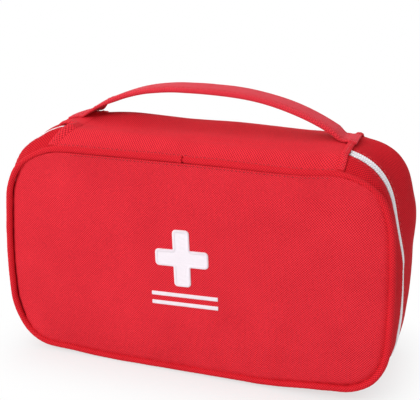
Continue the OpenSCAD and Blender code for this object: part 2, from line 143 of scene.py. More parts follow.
side_rest = (
    top_z - foot_z - top_corner_r - side_bow_r * math.sin(side_lean)
    - foot_bow_r * (1 - math.cos(foot_slope)) - foot_corner_r * (math.cos(foot_slope) - math.sin(side_lean))
)
top_lean = math.asin(side_rest / (side_bow_r - top_corner_r))
foot_flat = (
    half_w - side_bow_r * (1 - math.cos(side_lean)) - foot_bow_r * math.sin(foot_slope)
    - foot_corner_r * (math.cos(side_lean) - math.sin(foot_slope))
)
quarter = math.pi / 2
corner_x = half_w - side_bow_r * (1 - math.cos(top_lean)) - top_corner_r * math.cos(top_lean)
stretches = np.array([
    [foot_flat, 0.0],
    [foot_bow_r * foot_slope, foot_slope],
    [foot_corner_r * (quarter - side_lean - foot_slope), quarter - side_lean],
    [side_bow_r * (top_lean + side_lean), quarter + top_lean],
    [top_corner_r * (quarter - top_lean), math.pi],
    [corner_x, math.pi],
])
knot_s = np.concatenate([[0.0], np.cumsum(stretches[:, 0])])
knot_heading = np.concatenate([[0.0], stretches[:, 1]])
half_l = knot_s[-1]
loop_l = 2 * half_l

fine_s = np.linspace(0.0, half_l, 6001)
fine_heading = np.interp(fine_s, knot_s, knot_heading)
step_heading = (fine_heading[1:] + fine_heading[:-1]) / 2
fine_x = np.concatenate([[0.0], np.cumsum(np.cos(step_heading) * np.diff(fine_s))])
fine_z = foot_z + np.concatenate([[0.0], np.cumsum(np.sin(step_heading) * np.diff(fine_s))])


def fold(s):
    """A distance along the loop as its distance from the middle of the foot, and the side it is on, 1 or
    -1."""
    s = np.mod(s, loop_l)
    return np.minimum(s, loop_l - s), np.where(s > half_l, -1.0, 1.0)


def smooth(t):
    """0 below 0, 1 above 1, and 3 t squared less 2 t cubed between."""
    t = np.clip(t, 0.0, 1.0)
    return t * t * (3 - 2 * t)


def seam(s):
    """x and z of the seam at the distance s from the middle of the foot, counted to the right, and the x
    and z of the direction that points out of the bag there. A negative s runs up the left side. The bag
    stands a little unevenly: smooth steps in x and z sink its foot at the left and lift it at the right,
    and move its sides by less than that."""
    t, side = fold(s)
    heading = np.interp(t, fine_s, fine_heading)
    x, z = side * np.interp(t, fine_s, fine_x), np.interp(t, fine_s, fine_z)
    low = 1 - smooth((z - low_from) / low_blend)
    left_bow = side_bow_out * smooth(-x / bow_x) * (1 - smooth((z - bow_top) / bow_fade))
    right_tuck = side_tuck_in * smooth((x - tuck_x) / tuck_blend) * low
    z = z + low * (foot_rise * smooth((x + tilt_x) / (2 * tilt_x)) - foot_low)
    return x - left_bow - right_tuck, z, side * np.sin(heading), -np.cos(heading)


print(f"seam loop {loop_l:.1f} mm, closes at x {fine_x[-1]:.2f}, z {fine_z[-1]:.2f}")

# %% [markdown]
# ## The side of the bag
# Between the two seams the wall of the bag swells out, more at the top than at the sides, and two soft
# humps lift its rear part at the top corners and under the handle. Cloth never sits evenly, so the left and
# the right have amounts of their own: the zip lies in a dip at the right, the left corner is filled, and a
# few long ridges and valleys run beside the zip. They could be modelled by hand, layer by layer. Instead
# one function gives how far the cloth stands out from the seam line, and all the layers of the wall, from
# the red cloth to the lining, are the same surface at different depths.

# %% Side surface
seam_gap, seam_lip = 0.25, 1.5
gusset_half = half_d - piping_r - seam_gap
top_corner_z = np.interp(knot_s[4], fine_s, fine_z)
side_swell, top_swell, swell_power = 3.0, 5.6, 3
swell_from, swell_blend = 72.56, 24.0
crown_from, dip_end = -11.2, 8.0

# Humps: height, middle and reach along the seam, as a height z, a place x or a heading.
left_crown = (0.6, math.radians(128), math.radians(28))
right_crown = (4.2, math.radians(138), math.radians(33))
spine_crown = (2.4, 0.0, 75.0)
left_rise = (3.3, -56.0, 42.0)
left_dip = (1.5, top_corner_z + 5.5, 26.0)
right_dip = (6.1, top_corner_z + 5.5, 26.0)
right_hollow = (1.85, 77.0, 38.0)
left_fill = (5.0, math.radians(122), math.radians(42))
right_fill = (1.0, 74.0, 40.0)
low_tuck = (0.6, 30.0, 20.0)

# Ridges and valleys: a hump along the seam, and the place and the width across the wall.
left_ridge, left_ridge_fade = (2.2, math.radians(168), math.radians(24), -23.0, 5.0), 45.0
left_notch = (3.6, math.radians(140), math.radians(20), -9.0, 8.0)
right_ridge = (1.2, 76.0, 38.0, -24.0, 4.0)
right_crease = (3.1, 109.0, 29.0, -31.6, 2.4)
top_fold = (0.8, 30.0, 62.0, -21.5, 4.0)


def bump(t):
    """A round hump: the square of 1 less t squared, and 0 outside -1 to 1."""
    return np.maximum(0.0, 1 - t * t) ** 2


def bell(t):
    """A bell curve: e to the power of minus t squared."""
    return np.exp(-t * t)


def hump(kind, along):
    """A round hump of the kind's height, about its middle and as far as its reach."""
    height, middle, reach = kind
    return height * bump((along - middle) / reach)


def ridge(kind, along, y):
    """A hump along the seam times a bell curve across the wall."""
    *lengthwise, place, width = kind
    return hump(lengthwise, along) * bell((y - place) / width)


def stand_out(s, y):
    """How far the red cloth stands out from the seam line at the distance s and the depth y: a lip at the
    seam, a swell that falls off with the third power of y, less a dip along the zip, a crown that rises
    with the squared sine over the rear part, and the ridges less the valleys beside the zip and along the
    top."""
    t, side = fold(s)
    x, z = np.interp(t, fine_s, fine_x), np.interp(t, fine_s, fine_z)
    heading = np.interp(t, fine_s, fine_heading)
    at_right = side > 0
    near_top = smooth((z - top_corner_z) / (top_z - top_corner_z))
    swell = side_swell + (top_swell - side_swell) * smooth((z - swell_from) / swell_blend)
    swell = swell + np.where(at_right, hump(right_fill, z) - hump(low_tuck, z), hump(left_fill, heading))
    dip = np.where(at_right, hump(right_dip, z) + hump(right_hollow, z), hump(left_dip, z))
    dip = dip * smooth((dip_end - y) / (dip_end - zip_y))
    crown = np.where(at_right, hump(right_crown, heading), hump(left_crown, heading))
    crown = crown + near_top * (hump(spine_crown, x) + hump(left_rise, side * x))
    behind = np.clip((y - crown_from) / (gusset_half - crown_from), 0.0, 1.0)
    detail = np.where(
        at_right, ridge(right_ridge, z, y) - ridge(right_crease, z, y),
        smooth(x / left_ridge_fade) * ridge(left_ridge, heading, y) - ridge(left_notch, heading, y))
    detail = detail - near_top * ridge(top_fold, side * x, y)
    return (
        seam_lip + detail
        + (swell - dip) * (1 - np.minimum(np.abs(y) / gusset_half, 1.0) ** swell_power)
        + np.where(heading < quarter, 0.0, crown) * np.sin(math.pi * behind) ** 2
    )


left_lean, lean_reach, lean_from, lean_full = 7.5, 44.0, -21.0, -33.0


def leaned(s, y):
    """A distance along the seam moved out where the left end of the spine slants: by a round hump about
    that end, times a smooth step from the zip to the front seam."""
    from_end = np.mod(s, loop_l) - (half_l + corner_x)
    return s + left_lean * bump(from_end / lean_reach) * smooth((y - lean_from) / (lean_full - lean_from))


def wall_point(s, y, sink, floor=0.0):
    """A point of the wall: the seam point moved outwards by the stand-out less the sink, and never below
    the floor."""
    s = leaned(s, y)
    x, z, out_x, out_z = seam(s)
    out = stand_out(s, y) - sink
    return np.stack(np.broadcast_arrays(x + out * out_x, y, np.maximum(z + out * out_z, floor + sink)), -1)


def rumple(a, b, length, seed):
    """Soft unevenness of cloth: nine plane waves of about the given length in seeded directions, added
    up."""
    draw = np.random.default_rng(seed)
    total = 0.0
    for _ in range(9):
        turn = draw.uniform(0, 2 * math.pi)
        stretch = draw.uniform(0.7, 1.6)
        phase = draw.uniform(0, 2 * math.pi)
        along = a * math.cos(turn) + b * math.sin(turn)
        total = total + np.sin(2 * math.pi * along / (length * stretch) + phase)
    return total / 4.5


print(f"the wall stands out {stand_out(np.array(half_l), np.array(0.0)):.2f} mm at the top of the bag")

# %% [markdown]
# ## How the front has settled
# The pattern is even, but a used bag isn't: the foam pulls the top edge of the front down and the filled
# corners push out. Each piece could get its own correction, but then layers would drift apart. One field of
# small moves for the whole bag, strongest at the front and gone at the zip, moves all layers together.

# %% Settled front
front_drop, drop_from = 3.0, 112.0
right_more, right_more_x = 0.4, 80.0
settle_from, settle_full = -23.0, -33.0
corner_moves = (
    ((93.0, 124.0), 31.0, (1.2, 2.8)),
    ((-97.0, 9.0), 26.0, (-1.3, -1.5)),
    ((74.0, 5.0), 30.0, (0.0, 0.9)),
    ((104.0, 15.0), 22.0, (1.0, -0.9)),
    ((-113.0, 55.0), 46.0, (-0.7, 0.0)),
)


def settle(points):
    """Points moved as the front has settled: the last millimetres below the top drop by a smooth step in z,
    and round humps move the corners, each about its own place in x and z. The right drops more. The share
    of all this is a smooth step in y."""
    x, y, z = np.moveaxis(points, -1, 0)
    drop = front_drop * (1 + right_more * smooth(x / right_more_x))
    move_x, move_z = 0.0, -drop * smooth((z - drop_from) / (top_z - drop_from))
    for (at_x, at_z), reach, (push_x, push_z) in corner_moves:
        near = bump(np.hypot(x - at_x, z - at_z) / reach)
        move_x, move_z = move_x + push_x * near, move_z + push_z * near
    share = smooth((settle_from - y) / (settle_from - settle_full))
    return np.stack([x + share * move_x, y, z + share * move_z], -1)


print("the front's top seam drops by", front_drop, "mm")

# %% [markdown]
# ## From arrays to meshes
# Nearly every piece here is a closed ring of points carried along a path: a band of cloth, a cord, a coil.
# One helper joins the rings with four-sided faces, closes the ends with a strip of faces, lays a UV map in
# millimetres along and across the piece, and turns all faces round if the enclosed volume comes out
# negative.

# %% Mesh helpers
def mesh_piece(name, points, faces, uv, finish, sharp=50.0):
    """A mesh from whole arrays: points in millimetres before they settle, four corners a face, and one pair
    of uv for each corner."""
    points = settle(points)
    corner = points[faces]
    volume = np.einsum(
        "ij,ij->", corner[:, 0],
        np.cross(corner[:, 1], corner[:, 2]) + np.cross(corner[:, 2], corner[:, 3]),
    )
    if volume < 0:
        faces, uv = faces[:, ::-1], uv[:, ::-1]
    mesh = bpy.data.meshes.new(name)
    mesh.from_pydata((points / MM_PER_METRE).tolist(), [], faces.tolist())
    layer = mesh.uv_layers.new(name="cloth")
    layer.data.foreach_set("uv", np.ascontiguousarray(uv, dtype=np.float32).ravel())
    mesh.shade_smooth()
    mesh.set_sharp_from_angle(angle=math.radians(sharp))
    mesh.materials.append(finish)
    made = bpy.data.objects.new(name, mesh)
    scene.collection.objects.link(made)
    return made


def grid(u, v):
    """Pairs of u and v for every corner of a grid."""
    return np.stack(np.meshgrid(u, v, indexing="ij"), -1)


def ring_corners(n, k, closed=False):
    """The ring and the point of each corner of the faces between n rings of k points. Neighbouring rings
    are joined point by point. An open row of rings is closed at its ends by strips between point j and the
    last point less j."""
    spans = n if closed else n - 1
    i, j = (a.reshape(-1, 1) for a in np.meshgrid(np.arange(spans), np.arange(k), indexing="ij"))
    ring, point = i + [0, 1, 1, 0], j + [0, 0, 1, 1]
    if not closed:
        j = np.arange(k // 2 - 1)
        strip = np.stack([j, j + 1, k - 2 - j, k - 1 - j], -1)
        ring = np.concatenate([ring, np.zeros_like(strip), np.full_like(strip, n - 1)])
        point = np.concatenate([point, strip, strip[:, [1, 0, 3, 2]]])
    return ring, point


def skin(name, rings, uv, finish, closed=False, sharp=50.0):
    """A closed solid through rings of points, (rings, points of a ring, 3). uv is a grid with one more
    column than a ring has points, and one more row than there are rings if they close."""
    n, k = rings.shape[:2]
    ring, point = ring_corners(n, k, closed)
    return mesh_piece(name, rings.reshape(-1, 3), ring % n * k + point % k, uv[ring, point], finish, sharp)


def ease(count, pull=0.7):
    """Numbers from 0 to 1 that lie closer together at both ends."""
    t = np.linspace(0.0, 1.0, count)
    return t - pull * np.sin(2 * math.pi * t) / (2 * math.pi)


def band(low, high, thick, rows):
    """The outline of a flat band with rounded edges: places across it from low to high on the outside and
    back on the inside, with their depths below the outer face, and the length round the outline at each
    place."""
    edge = 0.06 * thick
    across = low + edge + (high - low - 2 * edge) * ease(rows)
    round_r = thick / 2
    to_edge = np.minimum(across - low, high - across)
    depth = round_r - np.sqrt(round_r ** 2 - np.maximum(0.0, round_r - to_edge) ** 2)
    across, depth = np.concatenate([across, across[::-1]]), np.concatenate([depth, thick - depth[::-1]])
    steps = np.hypot(np.diff(across, append=across[0]), np.diff(depth, append=depth[0]))
    return across, depth, low + np.concatenate([[0.0], np.cumsum(steps)])


def finish_piece(made, body, slot, *nodes):
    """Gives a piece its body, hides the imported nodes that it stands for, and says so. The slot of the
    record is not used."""
    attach(made, body)
    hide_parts(*nodes)
    print(f"{made.name}: {len(made.data.polygons)} faces on {body}")
    return made


# %% [markdown]
# ## Finishes
# The bag is sewn from coated Oxford cloth: thick threads go over and under each other, so the cloth shows
# small dots in diagonal rows. The weave could be modelled thread by thread, but at a millimetre a thread
# that is a job for the material: two sine waves along the UV map, multiplied, give the dots, and they drive
# both the colour and the bump.

# %% Node helpers
def put(tree, kind, sources, **settings):
    """A new node with its settings, whose inputs are numbers or the outputs of other nodes."""
    made = tree.nodes.new("ShaderNode" + kind)
    for key, value in settings.items():
        setattr(made, key, value)
    for socket, source in sources.items():
        if isinstance(source, bpy.types.NodeSocket):
            tree.links.new(source, made.inputs[socket])
        else:
            made.inputs[socket].default_value = source
    return made


def calc(tree, operation, first, second=0.0, third=0.0):
    """The result of a Math node."""
    return put(tree, "Math", {0: first, 1: second, 2: third}, operation=operation).outputs[0]


def wave(tree, place, length):
    """A sine wave of the given length over a place in millimetres."""
    return calc(tree, "SINE", calc(tree, "MULTIPLY", place, 2 * math.pi / length))


def map_places(tree):
    """The two numbers of the piece's own UV map, in millimetres."""
    both = put(tree, "SeparateXYZ", {0: put(tree, "UVMap", {}, uv_map="cloth").outputs[0]})
    return both.outputs[0], both.outputs[1]


def noise(tree, size, detail=2.0):
    """Seedless noise of about the given size in millimetres, fixed to the piece, from 0 to 1."""
    where = put(tree, "TexCoord", {}).outputs["Object"]
    return put(tree, "TexNoise", {
        "Vector": where, "Scale": MM_PER_METRE / size, "Detail": detail, "Roughness": 0.55,
    }).outputs[0]


def new_finish(name, roughness, **sockets):
    """A material with its shader's constant values set, and its node tree."""
    made = bpy.data.materials.new(name)
    made.use_nodes = True
    shader = made.node_tree.nodes["Principled BSDF"]
    shader.inputs["Roughness"].default_value = roughness
    for socket, value in sockets.items():
        shader.inputs[socket.replace("_", " ")].default_value = value
    return made, made.node_tree, shader


def colour_between(tree, shader, share, low, high):
    """The shader's colour runs from low to high with the share."""
    mixed = put(tree, "Mix", {"Factor": share}, data_type="RGBA", clamp_factor=True)
    mixed.inputs[6].default_value = (*low, 1.0)
    mixed.inputs[7].default_value = (*high, 1.0)
    tree.links.new(mixed.outputs[2], shader.inputs["Base Color"])


def relief(tree, shader, height, depth_mm, strength=1.0):
    """A bump of the given depth under the shader."""
    raised = put(tree, "Bump", {
        "Height": height, "Distance": depth_mm / MM_PER_METRE, "Strength": strength,
    })
    tree.links.new(raised.outputs[0], shader.inputs["Normal"])


def woven(name, low, high, pitch, depth_mm, roughness, patch=0.35, rib=None, **sockets):
    """Cloth: dots from the product of two sine waves along the UV map, soft patches and fine fibres from
    noise. With rib given, as the waves' share along and across, the dots stretch into ribs."""
    made, tree, shader = new_finish(name, roughness, **sockets)
    along, across = map_places(tree)
    dots = calc(tree, "MULTIPLY", wave(tree, along, pitch), wave(tree, across, rib or pitch))
    fibres = calc(tree, "SUBTRACT", noise(tree, 0.7), 0.5)
    patches = calc(tree, "MULTIPLY", calc(tree, "SUBTRACT", noise(tree, 26.0), 0.5), patch)
    height = calc(tree, "ADD", dots, fibres)
    share = calc(tree, "ADD", calc(tree, "MULTIPLY_ADD", height, 0.7, 0.5), patches)
    colour_between(tree, shader, share, low, high)
    relief(tree, shader, height, depth_mm, 0.6)
    return made


# The first two reds are lit and shaded copies of one cloth. The copy for the side walls is darker: that is
# painted shade on the sides that turn away from the key lamp. The copy for the panels, the spine and the tabs
# has paler green and blue, which is partly a painted whitish sheen of the front light.
red_cloth = woven(
    "red_oxford", (0.42, 0.006, 0.014), (1.0, 0.042, 0.062), 1.36, 0.16, 0.72, Specular_IOR_Level=0.08)
wall_cloth_painted_shade = woven(
    "wall_oxford_painted_shade", (0.36, 0.004, 0.010), (0.83, 0.022, 0.034), 1.36, 0.16, 0.75, Specular_IOR_Level=0.04)
red_piping = woven(
    "red_piping_cloth", (0.43, 0.0045, 0.011), (0.89, 0.028, 0.043), 1.5, 0.12, 0.70, Specular_IOR_Level=0.06)
red_trim = woven(
    "red_trim_cloth", (0.46, 0.005, 0.012), (0.96, 0.034, 0.052), 1.5, 0.14, 0.72, Specular_IOR_Level=0.06)
handle_cloth = woven(
    "red_handle_cloth", (0.49, 0.015, 0.027), (0.93, 0.052, 0.077), 1.5, 0.14, 0.70,
    Sheen_Weight=0.10, Sheen_Roughness=0.4, Sheen_Tint=(1.0, 0.6, 0.7, 1.0), Specular_IOR_Level=0.12,
)
lining_cloth = woven(
    "black_lining", (0.012, 0.012, 0.013), (0.035, 0.035, 0.038), 0.8, 0.05, 0.62,
    Sheen_Weight=0.15, Sheen_Roughness=0.4,
)
binding_tape = woven(
    "black_binding", (0.010, 0.010, 0.011), (0.030, 0.030, 0.033), 1.2, 0.08, 0.75, rib=400.0,
    Sheen_Weight=0.15,
)
elastic_webbing = woven(
    "black_elastic", (0.012, 0.012, 0.013), (0.045, 0.045, 0.048), 0.9, 0.12, 0.78, rib=1.8,
    Sheen_Weight=0.2,
)
zip_tape_cloth = woven(
    "white_zip_tape", (0.84, 0.82, 0.85), (0.94, 0.93, 0.95), 0.9, 0.06, 0.75, rib=1.8, Sheen_Weight=0.15,
)
print("cloth finishes:", len(bpy.data.materials))

# %% [markdown]
# Thread, coil, foam and metal need no weave. Thread is a little shiny and twisted, nylon coil is smooth and
# slightly see-through at its edges, foam has open cells, and the slider is cast metal under white lacquer.

# %% Thread, coil, foam and metal
def plain(name, low, high, size, depth_mm, roughness, **sockets):
    """A finish without weave: noise of one size drives a small change of colour and a fine bump."""
    made, tree, shader = new_finish(name, roughness, **sockets)
    grain = noise(tree, size, 3.0)
    colour_between(tree, shader, grain, low, high)
    relief(tree, shader, grain, depth_mm, 0.5)
    return made


# The pink in the white thread, with its lower green, is painted light: it stands for red light that bounces
# onto the thread from the cloth around it.
white_thread = plain(
    "white_thread", (0.84, 0.76, 0.81), (0.95, 0.88, 0.93), 0.5, 0.05, 0.55,
    Sheen_Weight=0.25, Sheen_Roughness=0.3)
# The thread along the top seam is dark red as painted shade: it stands for the shadow in the groove where the
# spine and the front panel meet the piping.
painted_shade_thread = plain("painted_seam_shade_thread", (0.28, 0.003, 0.008), (0.42, 0.008, 0.016), 0.5, 0.05, 0.7)
red_thread = plain(
    "red_thread", (0.50, 0.006, 0.014), (0.74, 0.020, 0.034), 0.5, 0.05, 0.55,
    Sheen_Weight=0.2, Sheen_Roughness=0.3)
black_thread = plain(
    "black_thread", (0.010, 0.010, 0.011), (0.030, 0.030, 0.032), 0.5, 0.05, 0.5, Sheen_Weight=0.2)
coil_nylon = plain(
    "white_coil", (0.82, 0.79, 0.83), (0.89, 0.86, 0.90), 2.0, 0.02, 0.3,
    Specular_IOR_Level=0.9, Coat_Weight=0.8)
grey_foam = plain("grey_foam", (0.10, 0.10, 0.11), (0.30, 0.30, 0.32), 0.8, 0.25, 0.9)
slider_lacquer = plain(
    "white_lacquer", (0.78, 0.77, 0.78), (0.88, 0.87, 0.88), 6.0, 0.01, 0.28, Coat_Weight=0.5)
pocket_mesh = plain(
    "black_net", (0.010, 0.010, 0.011), (0.035, 0.035, 0.038), 0.6, 0.05, 0.6, Sheen_Weight=0.2)
print("finishes:", len(bpy.data.materials))

# %% [markdown]
# ## Panels
# Front and rear are rounded panels of red cloth over a sheet of foam, with a black lining inside. A panel
# could be cut from a plane and inflated, but rings that shrink from the seam to the middle follow the
# outline and put most faces at the edge, where the cloth dips into the seam. The crown is a fourth power,
# flat in the middle and round at the rim.

# %% Panels
panel_t, foam_t, lining_t, layer_gap = 0.9, 2.5, 0.7, 0.15
panel_y, panel_crown, crown_power = half_d - 0.4, 5.0, 4
cord_r, cord_out = 1.9, 0.4
foam_sink = panel_t + layer_gap
panel_lining_sink = foam_sink + foam_t + layer_gap
centre_hole = 0.02
full_corner_x, full_corner_z, full_corner_reach, full_corner_inset = 88.0, 124.0, 48.0, 0.8
roll_depth, roll_reach, flush_reach = 1.1, 1.6, 9.0
calm_r, calm_blend, ring_power = 24.0, 25.0, 1.9
panel_soft, panel_fine, panel_pucker, pucker_pitch, pucker_reach = 0.30, 0.10, 0.16, 7.3, 5.0
top_from, top_blend = 108.0, 18.0
right_from, right_blend = 30.0, 70.0
foot_to, foot_fade = 24.0, 14.0

# What the top, the right, the foot and the full corner take off the roll, and bring the edge up by.
roll_less, flush_by = (0.7, 0.4, 0.6, 0.0), (2.2, 0.4, 1.2, 0.5)


def panel_point(side, s, scale, inset):
    """x and z of a panel at the distance s, on the ring that is the seam moved in by the inset and shrunk
    by the scale towards the middle, and how far it lies from the middle of the bag. That is the crown, 1
    less the fourth power of the scale, plus soft unevenness that dies out in the middle, less a roll of the
    cloth into the seam. At the top, the foot and, less so, at the right and the full corner the edge comes
    up flush with the piping."""
    x, z, out_x, out_z = seam(s)
    at_corner = bump(np.hypot(x - full_corner_x, z - full_corner_z) / full_corner_reach)
    inset = inset - full_corner_inset * at_corner
    edge_x, edge_z = x - inset * out_x, z - inset * out_z
    px, pz = edge_x * scale, mid_z + (edge_z - mid_z) * scale
    away = (1 - scale) * np.hypot(edge_x, edge_z - mid_z)
    middle = smooth((np.hypot(px, pz - mid_z) - calm_r) / calm_blend)
    soft = panel_soft * rumple(px, pz, 60, 11 + side) + panel_fine * rumple(px, pz, 16, 21 + side)
    pucker = panel_pucker * np.sin(2 * math.pi * s / pucker_pitch + 2.0 * np.sin(s / 31))
    pucker = pucker * np.exp(-away / pucker_reach)
    at_top = smooth((z - top_from) / top_blend)
    at_right = smooth((x - right_from) / right_blend) * (1 - at_top)
    at_foot = smooth((foot_to - z) / foot_fade) * (1 - at_right)
    at_edges = np.stack([at_top, at_right, at_foot, at_corner])
    roll = (roll_depth - np.tensordot(roll_less, at_edges, 1)) * bell(away / roll_reach)
    flush = np.tensordot(flush_by, at_edges, 1) * np.exp(-away / flush_reach)
    return px, pz, panel_y + panel_crown * (1 - scale ** crown_power) + flush, soft * middle + pucker - roll


def panel_layer(name, side, inset, sink, thick, rings, points, finish, calm=1.0):
    """One layer of a panel, at the given sink below its face: outer rings from the middle to the edge, and
    inner rings back. The unevenness of the face is calmer in the layers below."""
    s = np.linspace(0.0, loop_l, points, endpoint=False)
    scale = (centre_hole + (1 - centre_hole) * (1 - (1 - np.linspace(0, 1, rings)) ** ring_power))[:, None]
    px, pz, depth, uneven = panel_point(side, s, scale, inset)
    depth = depth - sink + calm * uneven
    outer = np.stack([px, side * depth, pz], -1)
    inner = np.stack([px, side * (depth - thick), pz], -1)[::-1]
    stack = np.concatenate([outer, inner])
    flat = np.pad(stack[:, :, [0, 2]], ((0, 0), (0, 1), (0, 0)), mode="wrap")
    return skin(name, stack, flat, finish)


face_over = 0.4
panel_inset = cord_r - cord_out + seam_gap
face_inset = panel_inset - face_over
for side, place, body in ((-1, "front", "lid"), (1, "rear", "base")):
    outer = panel_layer(place + "_panel_cloth", side, face_inset, 0.0, panel_t, 46, 420, red_cloth)
    finish_piece(outer, body, "red_cloth", place + "_panel")
    pad = panel_layer(
        place + "_foam_pad", side, panel_inset + seam_gap, foam_sink, foam_t, 18, 160, grey_foam, 0.5)
    finish_piece(pad, body, "foam", place + "_foam")
    inner = panel_layer(
        place + "_lining_cloth", side, panel_inset, panel_lining_sink, lining_t, 26, 240, lining_cloth, 0.7)
    finish_piece(inner, body, "lining", place + "_lining")

# %% [markdown]
# ## Piping
# A cord in a folded strip of cloth is sewn into the seam all round each panel. On the front its two ends
# meet at the middle of the top, where one end of the strip laps over the other. The cord is a round ring
# carried along the seam; it starts and ends at the top, so the lap is a real end of the tube lying over the
# other one.

# %% Piping
lap_over, lap_dent, lap_l, lap_shift = 0.35, 0.7, 3.2, 1.6
foot_clear = 0.1


def piping_cord(name, y):
    """A round tube along the seam, from the top all the way round to the top and a little on. Its radius
    varies softly. The first few millimetres are thicker, so that they lie over the end, which is pressed in
    beside them."""
    lap_s = half_l + lap_shift
    s = np.concatenate([np.linspace(0, loop_l + lap_l, 640), np.linspace(loop_l - 3, loop_l + 1, 30)])
    s = lap_s + np.unique(s)
    angle = np.linspace(0.0, 2 * math.pi, 20, endpoint=False)
    x, z, out_x, out_z = (a[:, None] for a in seam(s))
    uneven = 0.05 * rumple(s[:, None], 9.0 * angle[None, :], 14, 31)
    over = lap_over * smooth((lap_s + lap_l - s) / 2.0) - lap_dent * bell((s - lap_s - loop_l + 0.2) / 0.7)
    radius = cord_r * (1 + 0.02 * np.sin(2 * math.pi * s / 3.1))[:, None] + uneven * cord_r + over[:, None]
    out = cord_out + radius * np.cos(angle)
    px, pz = x + out * out_x, np.maximum(z + out * out_z, foot_clear)
    py = np.broadcast_to(y + radius * np.sin(angle), px.shape)
    around = np.linspace(0.0, 2 * math.pi * cord_r, 21)
    return skin(name, np.stack([px, py, pz], -1), grid(s, around), red_piping, sharp=60)


finish_piece(piping_cord("front_piping_cord", -half_d), "lid", "red_piping", "front_piping")
finish_piece(piping_cord("rear_piping_cord", half_d), "base", "red_piping", "rear_piping")

# %% [markdown]
# ## Side walls and spine
# The wall is one long strip on each side of the zip, and a third strip, the spine, closes the top. Each strip
# is a band with rounded, folded edges carried along the seam, and its outer edge runs on to the piping cord.
# A row of stitches presses a shallow groove into the cloth beside the zip, and the cloth puckers a little
# where it is eased round the corners. The spine is sewn to the lid at the front and to the bag at the back.

# %% Walls
gusset_t = 1.9
slot_half = 3.4
cord_bite = 0.1
cloth_half = half_d - cord_r + cord_bite
lid_lift = 0.4
tab_turn, tab_span = math.radians(18), math.radians(9)
tab_start = half_l - corner_x - top_corner_r * tab_turn
tab_end = tab_start + top_corner_r * tab_span
left_shift, right_shift = 8.5, 2.3
run_gap = 0.3
run_start, run_end = run_gap - tab_start - left_shift, tab_start + right_shift - run_gap
stitch_in, groove_depth, groove_w = 2.2, 0.28, 0.55
wall_soft, wall_pucker, wall_pitch, wall_reach = 0.22, 0.10, 8.1, 6.0
foot_ease = (0.22, (knot_s[2] + knot_s[3]) / 2, 32.0)
top_ease = (0.22, (knot_s[4] + knot_s[5]) / 2, 40.0)
run_s = np.linspace(run_start, run_end, 520)
spine_s = np.linspace(tab_start + right_shift, loop_l - tab_start - left_shift, 240)


def eased(s, y, seed):
    """Unevenness of the wall, outwards: soft waves everywhere, and short puckers across the seams that are
    strongest where the seam turns a corner."""
    t, _ = fold(s)
    pucker = wall_pucker + hump(foot_ease, t) + hump(top_ease, t)
    near_seam = np.exp(-(gusset_half - np.abs(y)) / wall_reach)
    short = np.sin(2 * math.pi * s / wall_pitch + 1.7 * np.sin(s / 23) + 0.1 * y)
    return wall_soft * rumple(s, y, 42, seed) + near_seam * short * pucker


def wall(name, s, low, high, sink, thick, rows, finish, floor=0.0, grooves=(), soft=None):
    """A band carried along the seam: places across it from low to high, at the given sink below the red
    surface. Sewn to a cord, it is a sheet of cloth, cut as wide as the band and as long as its seam."""
    across, depth, around = band(low, high, thick, rows)
    s_grid, y_grid = s[:, None], across[None, :]
    deep = sink + depth[None, :]
    if soft is not None:
        deep = deep - eased(s_grid, y_grid, soft)
    for groove in grooves:
        outside = (np.arange(2 * rows) < rows)[None, :]
        deep = deep + np.where(outside, groove_depth * bell((y_grid - groove) / groove_w), 0.0)
    points = wall_point(s_grid, y_grid, deep, floor)
    weave = grid(s, around)
    weave[..., 0] = leaned(weave[..., 0], np.append(across, across[0]))
    made = skin(name, points, weave, finish)
    return made


def hinge_piece(made, slot, *nodes):
    """For a piece that is sewn into the front seam: bakes its transform into its mesh, hides the imported
    nodes that it stands for, and says so. The piece is given no body. The slot of the record is not used."""
    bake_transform(made)
    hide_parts(*nodes)
    print(f"{made.name}: {len(made.data.polygons)} faces between lid and base")


rear_edge, front_edge = zip_y + slot_half, zip_y - slot_half
rear_groove, front_groove = rear_edge + stitch_in, front_edge - stitch_in
# The side walls take the darker copy of the red cloth, whose darkness is painted shade. The spine takes the
# lighter copy.
finish_piece(
    wall("rear_gusset_cloth", run_s, rear_edge, cloth_half, 0.0, gusset_t, 34, wall_cloth_painted_shade,
         grooves=[rear_groove], soft=41),
    "base", "red_cloth", "rear_gusset")
finish_piece(
    wall("front_gusset_cloth", run_s, -cloth_half, front_edge, 0.0, gusset_t, 22, wall_cloth_painted_shade,
         lid_lift, [front_groove], 42),
    "lid", "red_cloth", "front_gusset")
hinge_piece(
    wall("spine_cloth", spine_s, -cloth_half, cloth_half, 0.0, gusset_t, 46, red_cloth, soft=43),
    "red_cloth", "spine_panel")

# %% [markdown]
# Inside, the walls are lined, and a folded tape is bound over the raw seam at each panel. The linings could
# be drawn by themselves, but as the same bands at a greater depth they can't come through the red cloth.

# %% Wall linings and bindings
lining_in, lining_short, lining_back = 2.7, 0.5, 3.2
tape_edge, tape_gap = 8.0, 0.5
tape_sink, tape_t = 2.05, 0.5
lining_half, lining_edge = gusset_half - lining_short, tape_edge - lining_back
binding_near, binding_far, binding_t, binding_y = 2.15, 5.05, 1.5, 29.45
finish_piece(
    wall("rear_gusset_lining_cloth", run_s[::2], zip_y + lining_edge, lining_half, lining_in, lining_t, 16,
         lining_cloth, soft=41),
    "base", "lining", "rear_gusset_lining")
finish_piece(
    wall("front_gusset_lining_cloth", run_s[::2], -lining_half, zip_y - lining_edge, lining_in, lining_t, 10,
         lining_cloth, lid_lift, soft=42),
    "lid", "lining", "front_gusset_lining")
hinge_piece(
    wall("spine_lining_cloth", spine_s[2:-2:2], -lining_half, lining_half, tape_sink, lining_t, 24,
         lining_cloth, soft=43),
    "lining", "spine_lining")


